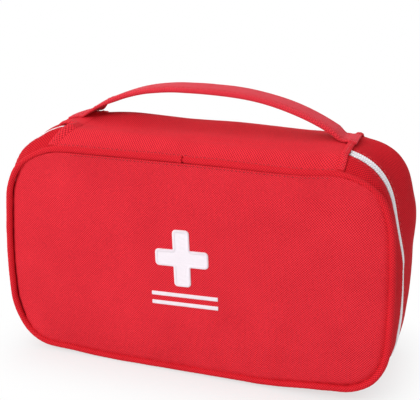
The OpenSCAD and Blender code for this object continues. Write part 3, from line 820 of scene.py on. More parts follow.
def binding_band(name, side):
    """A folded tape round the inner edge of the seam: a flat band with rounded edges, in from the seam."""
    s = np.linspace(0.0, loop_l, 420, endpoint=False)
    inward, depth, around = band(binding_near, binding_far, binding_t, 9)
    inward = inward[None, :] + 0.08 * np.sin(2 * math.pi * s / 5.2)[:, None]
    x, z, out_x, out_z = (a[:, None] for a in seam(s))
    y = np.broadcast_to(side * (binding_y + depth[None, :]), inward.shape)
    points = np.stack([x - inward * out_x, y, z - inward * out_z], -1)
    return skin(name, points, grid(np.append(s, loop_l), around), binding_tape, closed=True)


finish_piece(binding_band("front_binding_tape", -1), "lid", "binding_tape", "front_binding")
finish_piece(binding_band("rear_binding_tape", 1), "base", "binding_tape", "rear_binding")

# %% [markdown]
# ## Zip
# The zip is a nylon coil: each half is one thread wound into a flat spiral and sewn to a woven tape, and
# the heads of the two spirals lie between each other. A row of boxes would give ribs, but a real flattened
# helix gives the rounded heads and the line down the middle, where the two halves mesh.

# %% Zip
coil_pitch = 1.1
coil_head, coil_w = 0.08, 2.9
coil_sink, coil_depth = -0.45, 1.6
coil_r, coil_broad = 0.4, 1.55


def coil_half(name, side, floor):
    """A tube along a flattened helix: with each turn the thread goes across the coil and back, half a coil
    deep, and one pitch along the zip. The rear half is half a pitch on, so that the heads lie between each
    other. The thread is pressed broad along the zip, so that the turns close up to a ribbed band."""
    turns = (run_end - run_start) / coil_pitch - 1
    phase = np.linspace(0.0, 2 * math.pi * turns, int(turns * 10))
    s = coil_pitch * (phase / (2 * math.pi) + 0.25 * side) + run_start + coil_pitch / 2
    y = zip_y + side * (coil_head + coil_r + (coil_w - 2 * coil_r) * (1 - np.cos(phase)) / 2)
    sink = coil_sink + coil_depth / 2 - (coil_depth / 2 - coil_r) * np.sin(phase)
    path = wall_point(s, y, sink, floor)
    ahead = wall_point(s + 0.5, y, sink, floor) - path
    return tube(name, path, coil_r, 6, ahead, coil_nylon, broad=coil_broad)


def unit(arrows):
    """Arrows of the same direction and of the length 1: each is divided by its length."""
    return arrows / np.linalg.norm(arrows, axis=-1, keepdims=True)


def run_of(path):
    """The distance along a path up to each of its points: the lengths of its steps, added up from 0."""
    return np.concatenate([[0.0], np.cumsum(np.linalg.norm(np.diff(path, axis=0), axis=1))])


def tube(name, path, radius, sides, guide, finish, sharp=80.0, broad=1.0):
    """A tube along a path. Its ring is spanned by the guide, made square to the path, and their cross
    product. It is round, or broader in the direction of the guide."""
    forward = unit(np.gradient(path, axis=0))
    first = unit(guide - (guide * forward).sum(1, keepdims=True) * forward)
    second = np.cross(forward, first)
    angle = np.linspace(0.0, 2 * math.pi, sides, endpoint=False)[None, :, None]
    ring = broad * np.cos(angle) * first[:, None] + np.sin(angle) * second[:, None]
    around = np.linspace(0.0, 6.3 * radius, sides + 1)
    return skin(name, path[:, None] + radius * ring, grid(run_of(path), around), finish, sharp=sharp)


for side, place, body, floor in ((1, "rear", "base", 0.0), (-1, "front", "lid", lid_lift)):
    finish_piece(coil_half(f"{place}_zip_coil", side, floor), body, "zip_coil", f"zip_coil_{place}")
    near, far = sorted((zip_y + side * tape_gap, zip_y + side * tape_edge))
    finish_piece(
        wall(f"{place}_zip_tape", run_s, near, far, tape_sink, tape_t, 10, zip_tape_cloth, floor),
        body, "zip_tape", f"zip_tape_{place}")

# %% [markdown]
# ## Tabs
# At each end of the zip a folded strip of cloth crosses the wall from the front seam to the rear seam and
# covers the end of the coil. The right one is narrow and puffy. The left one slants with the end of the
# spine, and its rear half reaches out as a tongue whose free edge stands off the corner. The strips could
# be boxes laid on the corners, but as bands on the wall's own surface they follow every swell below them.

# %% Tabs
tab_t, tab_short, tab_lap = 1.3, 1.2, 0.9
tab_far, tab_half = tab_end - tab_short, gusset_half - 0.2
tail_from, tail_blend, tail_end, tail_fade = -17.0, 8.0, 26.0, 14.0
edge_rise, rise_from, rise_blend, rise_end, rise_fade = 0.06, -20.0, 8.0, 8.0, 10.0

# The side of each tab, its free edge over the zip, its edge on the spine, its tail, and how flat that edge
# is pressed.
tab_kinds = {
    "left": (-1, tab_start + left_shift - tab_lap, tab_far + left_shift, 11.0, 1.2),
    "right": (1, tab_start + right_shift - tab_lap, tab_far, 0.0, 0.0),
}


def tab_place(y, s, near, far, tail):
    """The distance along the seam of a place on a tab: its rear half reaches further out, by the tail at
    the free edge and by less towards the spine."""
    reach = tail * smooth((y - tail_from) / tail_blend) * smooth((tail_end - y) / tail_fade)
    return s - reach * (far - s) / (far - near)


def tab_lift(y, share, tail, flat):
    """How far a tab stands off the wall at a place y across the bag and a share of its width: it bulges a
    little as folded cloth does, crumples in waves along its length, its free edge lifts off the bag where
    it reaches out, and its other edge is pressed flat into the spine."""
    inner = smooth((gusset_half - np.abs(y)) / 7)
    lift = inner * (0.3 * np.sin(math.pi * share) + 0.15 * np.sin(2 * math.pi * y / 7.5 + 3.0 * share))
    off = edge_rise * tail * (1 - share) ** 1.5
    off = off * smooth((y - rise_from) / rise_blend) * smooth((rise_end - y) / rise_fade)
    return tab_t + layer_gap + lift + off - flat * smooth(share * 1.6 - 0.6)


def tab_strip(name, side, near, far, tail, flat):
    """A band across the bag: places along the seam from the free edge over the zip to the spine, carried
    from the front seam to the rear seam."""
    s_across, depth, around = band(near, far, tab_t, 14)
    y = np.linspace(-tab_half, tab_half, 110)[:, None]
    share = (s_across - near) / (far - near)
    places = side * tab_place(y, s_across[None, :], near, far, tail)
    points = wall_point(places, y, depth[None, :] - tab_lift(y, share, tail, flat))
    return skin(name, points, grid(y[:, 0], around), red_cloth)


for place, kind in tab_kinds.items():
    hinge_piece(tab_strip(f"{place}_zip_tab", *kind), "red_trim", f"zip_tab_{place}")

# %% [markdown]
# ## Handle
# The handle is a flat strap of doubled cloth with a filling strip, arched from tab to tab. It is sewn down on
# the tabs and free between, and it is made in two halves that meet in the middle. One strap in one piece
# could blend only at one end, which is why it is made in two halves that meet in the middle. At its left end
# the strap twists a little: its rear edge is lifted there and is sewn down sooner than its front edge.

# %% Handle
handle_low, handle_high = box_mm("handle_sleeve")
handle_mid, handle_w = (handle_low[1] + handle_high[1]) / 2, handle_high[1] - handle_low[1]
end_low, end_high = box_mm("handle_end_right")
strap_t, sewn_share, strap_broad, narrowing = 2.8, 0.55, 1.06, 0.0026
row_in, row_press, row_w, strap_crown = 2.6, 0.3, 0.6, 0.35
thin_from, thin_blend = {-1: 56.0, 1: 73.0}, {-1: 16.0, 1: 7.5}
arch_power, arch_low, arch_short = 2.55, 0.4, {-1: 0.0, 1: 1.2}
arch_top, arch_half = handle_high[2] - strap_t / 2 - arch_low, end_high[0]
arch_drop = arch_top - end_low[2] - strap_t / 2
crest_x, strap_yaw = -7.0, -0.055
sewn_from, sewn_blend = {-1: 76.5, 1: 73.0}, {-1: 6.0, 1: 7.5}
twist_x, twist_reach, twist_lift, twist_mid = 73.0, 13.0, {-1: 2.4, 1: 0.0}, 0.6
foot_turn, turn_from, turn_blend = {-1: 4.5, 1: 0.0}, 0.05, 0.45
seat_s = np.linspace(tab_start - 14, half_l, 400)
tab_over = {-1: tab_end + left_shift + 1.0, 1: tab_end + 1.0}
tab_high, tab_slope = {-1: tab_t, 1: tab_t - 0.5}, 3.0


def seat_height(side, x, y):
    """The height of the middle of the sewn strap over the places x of one side of the top, for one place y
    across it: the surface of the spine, and over the tab that much higher."""
    sink = -layer_gap - sewn_share * strap_t / 2
    sink = sink - tab_high[side] * smooth((tab_over[side] - seat_s) / tab_slope)
    seat = wall_point(side * seat_s, np.full_like(seat_s, y), sink)
    return np.interp(x, side * seat[::-1, 0], seat[::-1, 2])


def strap_point(side, x, across, out):
    """Points of the strap, (places x, places across), at the given distance out from its middle surface: an
    arch that falls with a power of x, plus a round hump where it twists, and over the last millimetres the
    surface of the spine and the tab."""
    x_signed = side * x
    from_crest = np.abs(x_signed - crest_x) / (arch_half - side * crest_x - arch_short[side])
    arch = arch_top - arch_drop * from_crest ** arch_power
    early = foot_turn[side] * smooth((across / handle_w - turn_from) / turn_blend)
    sewn = smooth((x[:, None] - sewn_from[side] + early[None, :]) / sewn_blend[side])
    width = strap_broad - narrowing * x_signed[:, None]
    y = handle_mid + across[None, :] * width + strap_yaw * x_signed[:, None]
    feet = handle_mid + across + side * strap_yaw * arch_half
    seat = np.stack([seat_height(side, x, place) for place in feet], -1)
    twist = twist_lift[side] * bump((x - twist_x) / twist_reach)[:, None]
    free = arch[:, None] + twist * (twist_mid + across[None, :] / handle_w)
    z = free + (seat - free) * sewn
    slope = np.gradient(z, x, axis=0)
    size = np.hypot(1.0, slope)
    thick = out * (1 + (sewn_share - 1) * smooth((x - thin_from[side]) / thin_blend[side])[:, None])
    return np.stack([side * (x[:, None] - slope / size * thick), y, z + thick / size], -1)


def strap_half(name, side, strap_end):
    """A band across the strap carried along half of its arch. Two rows of stitches press grooves into it,
    and it is a little crowned."""
    x = np.linspace(0.0, strap_end, 150)
    across, depth, around = band(-handle_w / 2, handle_w / 2, strap_t, 26)
    groove = row_press * bell((np.abs(across) - handle_w / 2 + row_in) / row_w)
    crown = strap_crown * (1 - (2 * across / handle_w) ** 2)
    half = strap_t / 2 - depth
    soft = 0.10 * rumple(x[:, None], across[None, :], 24, 61 + side)
    out = (half + np.sign(half) * (crown - groove))[None, :] + soft
    points = strap_point(side, x, across, out)
    return skin(name, points, grid(x, around), handle_cloth)


def bend_strap(piece):
    """Bakes the transform of a piece of one half of the strap into its mesh, and says so."""
    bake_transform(piece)
    print(f"{piece.name}: {len(piece.data.polygons)} faces")


strap_kinds = ((-1, "left", 88.5), (1, "right", 86.5))
for side, place, strap_end in strap_kinds:
    strap = strap_half(f"{place}_handle_strap", side, strap_end)
    bend_strap(strap)
    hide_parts("handle_end_" + place, *(["handle_sleeve", "handle_core"] if side > 0 else []))

# %% [markdown]
# ## Embroidery
# The cross on the front is stitched: a dense fill of parallel threads with a raised satin border, whose
# threads lie across the edge. Threads this fine could be left to a bump, but the raised border catches the
# light, so its ridges and those of the fill are in the mesh. Two plain satin lines lie below the cross.

# %% Embroidery
cross_w, cross_h, cross_arm, cross_round = 31.2, 33.2, 9.7, 1.6
cross_lift, cross_shift = 6.3, -0.7
line_drop, line_pitch, line_w, line_h = 18.6, 5.4, 40.0, 2.4
stitch_tilt = math.radians(2.0)
thread_pitch, thread_sink = 0.52, 0.12
rim_in, rim_step, rim_half, rim_rise = 0.8, 0.13, 0.95, 0.95
panel_face = panel_y + panel_crown


def on_panel(a, c, lift):
    """Points of the front panel: a to the right and c up from its middle, turned by the tilt, lifted off
    the cloth."""
    x = a * math.cos(stitch_tilt) - c * math.sin(stitch_tilt)
    z = a * math.sin(stitch_tilt) + c * math.cos(stitch_tilt)
    return np.stack(np.broadcast_arrays(x, -panel_face - lift, mid_z + z), -1)


def rounded_line(corners, rounding, bend, count=None, step=None):
    """A closed line with rounded corners, and the distance along it. Each corner is a quadratic curve of so
    many points between the two places that lie the rounding before and after it. The whole line is then
    sampled in even steps, by their count or by their length."""
    corners = np.array(corners, dtype=float)
    first = corners + rounding * unit(np.roll(corners, 1, axis=0) - corners)
    last = corners + rounding * unit(np.roll(corners, -1, axis=0) - corners)
    t = np.linspace(0.0, 1.0, bend)[None, :, None]
    line = (1 - t) ** 2 * first[:, None] + 2 * t * (1 - t) * corners[:, None] + t ** 2 * last[:, None]
    line = line.reshape(-1, 2)
    line = np.concatenate([line, line[:1]])
    length = run_of(line)
    even = np.linspace(0.0, length[-1], count or int(length[-1] / step), endpoint=False)
    return np.stack([np.interp(even, length, line[:, 0]), np.interp(even, length, line[:, 1])], -1), even


def cross_outline(inset, step):
    """The closed outline of the cross, inset, with rounded corners and sampled in even steps."""
    w, h, arm = cross_w / 2 - inset, cross_h / 2 - inset, cross_arm / 2 - inset
    return rounded_line([
        [w, -arm], [w, arm], [arm, arm], [arm, h], [-arm, h], [-arm, arm],
        [-w, arm], [-w, -arm], [-arm, -arm], [-arm, -h], [arm, -h], [arm, -arm],
    ], cross_round, 9, step=step)


def satin(name, line, along, half, rise, closed):
    """Satin stitches along a line on the panel: the ring is half an ellipse over the cloth, and both its
    height and its width ripple with every thread, by the size of a sine half wave."""
    steps = np.roll(line, -1, axis=0) - np.roll(line, 1, axis=0) if closed else np.gradient(line, axis=0)
    ahead = unit(steps)
    side = np.stack([ahead[:, 1], -ahead[:, 0]], -1)
    rib = np.abs(np.sin(math.pi * along / thread_pitch))[:, None]
    turn = np.linspace(0.0, math.pi, 9)[None, :]
    over = -np.cos(turn) * half * (0.93 + 0.07 * rib)
    high = np.sin(turn) ** 0.7 * rise * (0.72 + 0.28 * rib) + 0.02
    over = np.concatenate([over, over[:, ::-1] * 0.96], axis=1)
    high = np.concatenate([high, np.full_like(high, -thread_sink)], axis=1)
    points = on_panel(
        line[:, None, 0] + side[:, None, 0] * over, line[:, None, 1] + side[:, None, 1] * over, high)
    u = np.append(along, 2 * along[-1] - along[-2]) if closed else along
    return skin(name, points, grid(u, np.linspace(0, 5, 19)), white_thread, closed, sharp=70)


def cross_fill(name):
    """The fill of the cross: rows from its foot to its top, each as wide as the cross is there, and a ridge
    for every thread, which lies along the row."""
    c = np.linspace(rim_in - cross_h / 2, cross_h / 2 - rim_in, 330)
    arm = cross_arm / 2 - rim_in
    half = arm + (cross_w / 2 - rim_in - arm) * smooth((arm + 0.15 - np.abs(c)) / 0.3)
    over = ease(26, 0.4) * 2 - 1
    rib = np.abs(np.sin(math.pi * c / thread_pitch + 0.4 * np.sin(c)))[:, None]
    a = half[:, None] * over[None, :]
    sway = np.sin(2 * math.pi * a / 6.5 + 2 * c[:, None]) + rumple(a, c[:, None], 5, 71)
    high = 0.42 + 0.14 * rib + 0.05 * sway
    a, high = np.concatenate([a, a[:, ::-1]], 1), np.concatenate([high, np.full_like(high, -thread_sink)], 1)
    points = on_panel(a + cross_shift, cross_lift + c[:, None], high)
    return skin(name, points, grid(c, np.linspace(0, 60, 53)), white_thread, sharp=70)


finish_piece(cross_fill("cross_fill_threads"), "lid", "white_thread", "embroidered_cross")
rim, rim_along = cross_outline(rim_in, rim_step)
border = satin("cross_satin_border", rim + [cross_shift, cross_lift], rim_along, rim_half, rim_rise, True)
finish_piece(border, "lid", "white_thread")
for number, lift in ((1, line_pitch / 2), (2, -line_pitch / 2)):
    line_along = np.linspace(0.0, line_w - 0.6, 300)
    line = np.stack([line_along - line_w / 2 + 0.3, np.full(300, lift - line_drop)], -1)
    bar = satin(f"satin_line_{number}", line, line_along, line_h / 2, 0.75, False)
    finish_piece(bar, "lid", "white_thread", *(["embroidered_lines"] if number == 1 else []))

# %% [markdown]
# ## Stitches
# Rows of stitches hold the walls beside the zip, the tabs and the handle. A stitch is a short thread that
# dips into the cloth at both ends. One helper makes all the stitches of a row at once: every stitch has the
# same few faces, and its places are the start, the end and the outward direction.

# %% Stitch helper
def threads(name, paths, out, radius, sides, finish):
    """Many thin tubes in one mesh: paths is (tubes, stations, 3), out the outward direction at each of
    them, radius one number for each station. The ring is spanned by the outward direction and its cross
    product with the path."""
    count, stations = paths.shape[:2]
    beside = unit(np.cross(np.gradient(paths, axis=1), out))
    angle = np.linspace(0.0, 2 * math.pi, sides, endpoint=False)[None, None, :, None]
    wide = np.asarray(radius)[None, :, None, None]
    rings = paths[:, :, None] + wide * (np.cos(angle) * out[:, :, None] + np.sin(angle) * beside[:, :, None])
    ring, point = ring_corners(stations, sides)
    one = ring * sides + point % sides
    faces = (one[None] + np.arange(count)[:, None, None] * stations * sides).reshape(-1, 4)
    points = rings.reshape(-1, 3)
    return mesh_piece(name, points, faces, points[faces][:, :, [0, 2]], finish, 80)


def stitch_row(name, start, end, out, finish, thick=0.28):
    """One stitch from each start to its end: it rises off the cloth in its middle and dips in at both
    ends."""
    t = np.array([0.0, 0.12, 0.5, 0.88, 1.0])
    rise = thick * np.array([-0.9, 0.15, 0.55, 0.15, -0.9])
    paths = start[:, None] + (end - start)[:, None] * t[None, :, None] + out[:, None] * rise[None, :, None]
    directions = np.broadcast_to(out[:, None], paths.shape)
    return threads(name, paths, directions, thick * np.array([0.45, 0.95, 1.0, 0.95, 0.45]), 6, finish)


def wall_stitches(name, s, y, sink, length, finish, floor=0.0, across=False, thick=0.28):
    """A row of stitches on the wall, along the seam or across it. The outward direction is the step to a
    smaller sink."""
    s, y, sink = np.broadcast_arrays(s, y, sink)
    ds, dy = (0.0, length / 2) if across else (length / 2, 0.0)
    start, end = wall_point(s - ds, y - dy, sink, floor), wall_point(s + ds, y + dy, sink, floor)
    out = unit(wall_point(s, y, sink - 1.0, floor) - wall_point(s, y, sink, floor))
    return stitch_row(name, start, end, out, finish, thick)


# %% [markdown]
# Beside the zip, a row of red stitches lies on each side in the groove that it presses into the cloth. It
# could lie on a plain line along the wall, but the cloth is uneven, so each stitch gets the wall's
# unevenness at its own place.

# %% Stitches beside the zip
stitch_pitch, stitch_l, groove_sink, row_clear = 3.0, 2.2, 0.22, 3.0
zip_stitch_s = np.arange(run_start + row_clear, run_end - row_clear, stitch_pitch)
zip_rows = (
    ("rear_zip_stitches", rear_groove, "base", 0.0, 41),
    ("front_zip_stitches", front_groove, "lid", lid_lift, 42),
)
for name, y, body, floor, seed in zip_rows:
    sink = groove_sink - eased(zip_stitch_s, np.full_like(zip_stitch_s, y), seed)
    row = wall_stitches(name, zip_stitch_s, y, sink, stitch_l, red_thread, floor)
    finish_piece(row, body, "red_cloth")

# %% [markdown]
# One row of stitches holds each tab across the bag, and rows of dark red stitches lie where the spine and the
# front panel meet the front piping. They are real stitches, but their dark red is painted shade of the seam
# groove there. A drawn line could stand for them, but real stitches throw small shadows. They take their
# places from the same functions as the cloth below them.

# %% Stitches on the tabs and along the top seam
tab_row, tab_pitch, tab_stitch_l = 0.45, 2.6, 1.8
seam_pitch, seam_stitch_l, seam_in, panel_row = 2.2, 1.3, 0.9, 0.982
fine_thread = 0.22
tab_y = np.arange(row_clear - gusset_half, gusset_half - row_clear, tab_pitch)
for place, (side, near, far, tail, flat) in tab_kinds.items():
    tab_s = side * tab_place(tab_y, near + tab_row * (far - near), near, far, tail)
    sink = 0.05 - tab_lift(tab_y, tab_row, tail, flat)
    row = wall_stitches(
        f"{place}_tab_stitches", tab_s, tab_y, sink, tab_stitch_l, red_thread, across=True, thick=fine_thread)
    hinge_piece(row, "red_trim")

seam_s = np.arange(tab_end + 1, loop_l - tab_end - left_shift - 1, seam_pitch)
spine_y = seam_in - gusset_half
spine_sink = 0.1 - eased(seam_s, np.full_like(seam_s, spine_y), 43)
row = wall_stitches(
    "spine_seam_stitches", seam_s, spine_y, spine_sink, seam_stitch_l, painted_shade_thread, thick=fine_thread)
hinge_piece(row, "red_cloth")


def panel_stitches(name, s, length):
    """A row of short stitches on the front panel beside the piping, along the top of the bag."""
    ends = []
    for shift in (-length / 2, length / 2):
        x, z, depth, uneven = panel_point(-1, s + shift, panel_row, face_inset)
        ends.append(np.stack([x, -depth - uneven, z], -1))
    return stitch_row(name, *ends, np.tile([0.0, -1.0, 0.0], (s.size, 1)), painted_shade_thread, fine_thread)


finish_piece(panel_stitches("panel_seam_stitches", seam_s, seam_stitch_l), "lid", "red_cloth")

# %% [markdown]
# Two long rows of stitches close the strap, and two short rows across it hold each end. They could be laid
# on the strap afterwards, but with places from the strap's own function they follow its twist and its bends.

# %% Stitches on the handle
def strap_stitches(name, side, strap_end):
    """Two rows of stitches along the strap, in its grooves, and two short rows across its sewn end."""
    face = strap_t / 2 - 0.1
    edges = np.array([row_in - handle_w / 2, handle_w / 2 - row_in])
    rows = (
        (np.arange(2.0, strap_end - 2, 3.0), edges, 1.0, 0.0),
        (np.array([strap_end - 5.5, strap_end - 1.8]), np.arange(-6.4, 6.5, 2.56), 0.0, 0.9),
    )
    parts = []
    for x, across, ahead, aside in rows:
        start = strap_point(side, x - ahead, across - aside, face)
        end = strap_point(side, x + ahead, across + aside, face)
        out = unit(strap_point(side, x, across, face + 1.0) - strap_point(side, x, across, face))
        parts.append([a.reshape(-1, 3) for a in (start, end, out)])
    start, end, out = (np.concatenate(both) for both in zip(*parts))
    return stitch_row(name, start, end, out, red_thread, 0.24)


for side, place, strap_end in strap_kinds:
    bend_strap(strap_stitches(f"{place}_handle_stitches", side, strap_end))

# %% [markdown]
# ## Inside
# The photo shows the bag closed, so the inside is what such a bag usually has: a row of elastic loops on
# the rear lining and a net pocket with an elastic hem in the lid. Each loop could be a piece of its own,
# but the elastic is sewn in one length, so it is one band carried along all the humps, with a row of tacks
# at every foot.

# %% Elastic loops
loop_count, loop_pitch, loop_half, loop_h, elastic_t = 5, 24.0, 10.0, 9.0, 1.0
foot_at = np.array([10.5, 11.2, loop_pitch / 2])
loops_low, loops_high = box_mm("elastic_loops")


def elastic_band(name):
    """A band carried along the row of loops: each loop is half an ellipse off the lining with flat sewn
    feet between."""
    turn = np.linspace(-quarter, quarter, 25)
    hump_x = loop_half * np.sin(turn)
    hump_y = (loop_h - elastic_t / 2) * np.cos(turn) ** 0.85
    one_x = np.concatenate([-foot_at[::-1], hump_x, foot_at[:2]])
    one_y = np.pad(np.maximum(hump_y, elastic_t / 2), (3, 2), constant_values=elastic_t / 2)
    middles = (np.arange(loop_count) - (loop_count - 1) / 2) * loop_pitch
    x = np.append((middles[:, None] + one_x[None, :]).ravel(), middles[-1] + foot_at[2])
    y = loops_high[1] - np.append(np.tile(one_y, loop_count), elastic_t / 2)
    run = run_of(np.stack([x, y], -1))
    even = np.linspace(0.0, run[-1], 420)
    x, y = np.interp(even, run, x), np.interp(even, run, y)
    dx, dy = np.gradient(x, even), np.gradient(y, even)
    dx, dy = dx / np.hypot(dx, dy), dy / np.hypot(dx, dy)
    across, depth, around = band(loops_low[2], loops_high[2], elastic_t, 14)
    out = (elastic_t / 2 - depth)[None, :] + 0.06 * np.sin(2 * math.pi * across / 1.8)[None, :]
    px = x[:, None] + dy[:, None] * out
    py = y[:, None] - dx[:, None] * out
    pz = np.broadcast_to(across[None, :], px.shape)
    return skin(name, np.stack([px, py, pz], -1), grid(even, around), elastic_webbing)


finish_piece(elastic_band("elastic_loop_band"), "base", "elastic", "elastic_loops")
foot_x = (np.arange(loop_count + 1) - loop_count / 2) * loop_pitch
foot_x = np.clip(foot_x, loops_low[0] + 1.0, loops_high[0] - 1.0)
bar_z = np.arange(loops_low[2] + 1.5, loops_high[2] - 1.5, 1.9)
bar_x, bar_z = (a.ravel() for a in np.meshgrid(foot_x, bar_z, indexing="ij"))
bar_y = np.full_like(bar_x, loops_high[1] - elastic_t)
tack_half = 0.8
tack_start = np.stack([bar_x - tack_half, bar_y, bar_z], -1)
tack_end = np.stack([bar_x + tack_half, bar_y, bar_z], -1)
tack_out = np.tile([0.0, -1.0, 0.0], (bar_x.size, 1))
finish_piece(
    stitch_row("elastic_bar_tacks", tack_start, tack_end, tack_out, black_thread), "base", "elastic")

# %% [markdown]
# The pocket in the lid is a net below a gathered hem of red cloth. A see-through material could show the net,
# but it would leave the mesh a plain sheet, so the net is two families of thin strands that cross.

# %% Net pocket
pocket_low, pocket_high = box_mm("mesh_pocket")
pocket_inset = half_w - pocket_high[0]
net_y = (pocket_low[1] + pocket_high[1]) / 2
net_pitch, net_r, net_wave, net_reach, strand_points = 3.0, 0.2, 0.12, 150.0, 44


def pocket_half(z):
    """Half the width of the pocket at a height: the seam moved in, read as x over z."""
    t = np.linspace(0.0, half_l, 800)
    x, seam_z, out_x, out_z = seam(t)
    in_x, in_z = x - pocket_inset * out_x, seam_z - pocket_inset * out_z
    keep = np.concatenate([[True], np.diff(np.maximum.accumulate(in_z)) > 0])
    return np.where(z < in_z[0], 0.0, np.interp(z, in_z[keep], in_x[keep]))


def net(name):
    """Two families of slanting strands. Each strand is cut where it leaves the pocket: dense samples of it
    are tested against the outline, and the strand runs from the first to the last of them that is inside.
    It waves over and under the strands that it crosses."""
    offset = np.arange(-net_reach, net_reach + 1, net_pitch * math.sqrt(2))
    tall = pocket_high[2] - pocket_low[2]
    share = np.linspace(0.0, 1.0, 400)
    families = []
    for lean in (1.0, -1.0):
        z = pocket_low[2] + tall * share[None, :] + 0 * offset[:, None]
        x = offset[:, None] + lean * (z - pocket_low[2] - tall / 2)
        inside = np.abs(x) <= pocket_half(z)
        rows = inside.sum(1) > 4
        first = share[inside.argmax(1)]
        last = share[share.size - 1 - inside[:, ::-1].argmax(1)]
        t = first[rows, None] + (last - first)[rows, None] * np.linspace(0, 1, strand_points)[None, :]
        z = pocket_low[2] + tall * t
        x = offset[rows, None] + lean * (z - pocket_low[2] - tall / 2)
        y = net_y + lean * net_wave * np.sin(2 * math.pi * z / (net_pitch * math.sqrt(2)))
        families.append(np.stack([x, y, z], -1))
    paths = np.concatenate(families)
    out = np.broadcast_to(np.array([0.0, 1.0, 0.0]), paths.shape)
    return threads(name, paths, out, np.full(strand_points, net_r), 4, pocket_mesh)


finish_piece(net("pocket_net"), "lid", "mesh", "mesh_pocket")
hem_low, hem_high = box_mm("mesh_pocket_hem")


def hem_strip(name):
    """A band along the pocket's top edge, gathered by its elastic: short waves push it in and out of its
    plane."""
    share = np.linspace(-1.0, 1.0, 420)
    across, depth, around = band(hem_low[2], hem_high[2], 1.0, 12)
    half = pocket_half(across)[None, :]
    x = share[:, None] * half
    gather = 0.28 * np.sin(2 * math.pi * x / 4.3 + 1.3 * np.sin(x / 9)) * (1 - share[:, None] ** 6)
    y = hem_high[1] - 0.2 - depth[None, :] + gather * np.sin(
        math.pi * (across - hem_low[2]) / (hem_high[2] - hem_low[2]))[None, :]
    z = np.broadcast_to(across[None, :], x.shape)
    return skin(name, np.stack([x, y, z], -1), grid(share * half.max(), around), red_trim)


finish_piece(hem_strip("pocket_hem_strip"), "lid", "red_trim", "mesh_pocket_hem")

# %% [markdown]
# ## Slider and pull
# The slider sits on the left side of the zip. It is cast metal: two shield-shaped plates joined by a post,
# and a bridge that holds the pull. A plate could be a cut solid with bevels, but one function does for all
# of them: rings go from the middle of one face over the rounded edge to the middle of the other.

# %% Slider
slider_low, slider_high = box_mm("zip_slider")
eye_out, plate_in = 1.1, 2.45
bar_x = box_mm("zip_pull")[0][0] + eye_out
slider_z = (slider_low[2] + slider_high[2]) / 2
slider_half, slider_l = (slider_high[1] - slider_low[1]) / 2, slider_high[2] - slider_low[2]
plate_t, under_out = 1.0, slider_high[0]
plate_base = bar_x + plate_in


def plate(name, line, x_out, thick, dome, finish):
    """A plate that faces left: rings from its middle to its rim at x_out, round the rim and back at the
    inner face."""
    middle = line.mean(0)
    scale = np.array([0.03, 0.4, 0.75, 0.93, 0.985, 1.0, 1.0, 0.985, 0.93, 0.5, 0.03])[:, None, None]
    bevel = thick * np.array([0, 0, 0, 0.08, 0.2, 0.4, 0.6, 0.8, 0.92, 1.0, 1.0])[:, None]
    flat = middle + (line[None] - middle) * scale
    x = x_out + bevel + np.zeros(flat.shape[:2])
    x[:5] -= dome * (1 - scale[:5, :, 0] ** 2)
    rings = np.stack([x, flat[:, :, 0], flat[:, :, 1]], -1)
    return skin(name, rings, np.pad(flat, ((0, 0), (0, 1), (0, 0)), mode="wrap"), finish, sharp=60)


narrow = slider_half / 4
shield, _ = rounded_line([
    [zip_y - slider_half, slider_z + slider_l / 2], [zip_y + slider_half, slider_z + slider_l / 2],
    [zip_y + slider_half, slider_z], [zip_y + slider_half - narrow, slider_z - slider_l / 2],
    [zip_y - slider_half + narrow, slider_z - slider_l / 2], [zip_y - slider_half, slider_z],
], 1.0, 7, 64)
outer_plate = plate("slider_outer_plate", shield, plate_base - plate_t, plate_t, 0.25, slider_lacquer)
finish_piece(outer_plate, "slider", "slider_metal", "zip_slider")
inner_plate = plate("slider_inner_plate", shield, under_out - plate_t, plate_t, 0.0, slider_lacquer)
finish_piece(inner_plate, "slider", "slider_metal")
post_half, post_low, post_high, post_in = 0.3, 2.2, 4.4, 0.2
post, _ = rounded_line([
    [zip_y - post_half, slider_z + post_low], [zip_y + post_half, slider_z + post_low],
    [zip_y + post_half, slider_z + post_high], [zip_y - post_half, slider_z + post_high],
], 0.25, 7, 24)
post_l = under_out - plate_t - plate_base + 2 * post_in
finish_piece(
    plate("slider_post", post, plate_base - post_in, post_l, 0.0, slider_lacquer), "slider", "slider_metal")
bridge_r, bridge_points = 0.42, 40
bridge_foot, bridge_half = plate_base - plate_t + 0.3, slider_half - 0.45
turn = np.linspace(0.0, math.pi, bridge_points)
bridge_path = np.stack([
    bridge_foot - (bridge_foot - bar_x) * np.sin(turn) ** 0.35,
    zip_y - bridge_half * np.sign(np.cos(turn)) * np.abs(np.cos(turn)) ** 0.45,
    np.full(bridge_points, slider_z),
], -1)
upwards = np.tile([0.0, 0.0, 1.0], (bridge_points, 1))
finish_piece(
    tube("slider_bridge", bridge_path, bridge_r, 10, upwards, slider_lacquer), "slider", "slider_metal")

# %% [markdown]
# The pull is a plate like those of the slider, with a hole near its tip and an eye that turns on the
# bridge. The hole could be cut out, but here the rings start at its rim and close, so the edge of the hole
# is rounded like the rest.

# %% Pull
pull_low, pull_high = box_mm("zip_pull")
pull_half = (pull_high[1] - pull_low[1]) / 2
hole_r, pull_t, eye_half = 1.2, 1.0, 2.0
tip_z, eye_t = pull_low[2], 0.5
hole_z = tip_z + pull_half
root_z, neck_z, shoulder_z = slider_z - 0.9, slider_z - 1.9, slider_z - 3.1
body, _ = rounded_line([
    [zip_y - eye_half, root_z], [zip_y - eye_half, neck_z], [zip_y - pull_half, shoulder_z],
    [zip_y - pull_half, tip_z], [zip_y + pull_half, tip_z], [zip_y + pull_half, shoulder_z],
    [zip_y + eye_half, neck_z], [zip_y + eye_half, root_z],
], np.array([0.3, 0.3, 0.5, 2.4, 2.4, 0.5, 0.3, 0.3])[:, None], 7, 120)


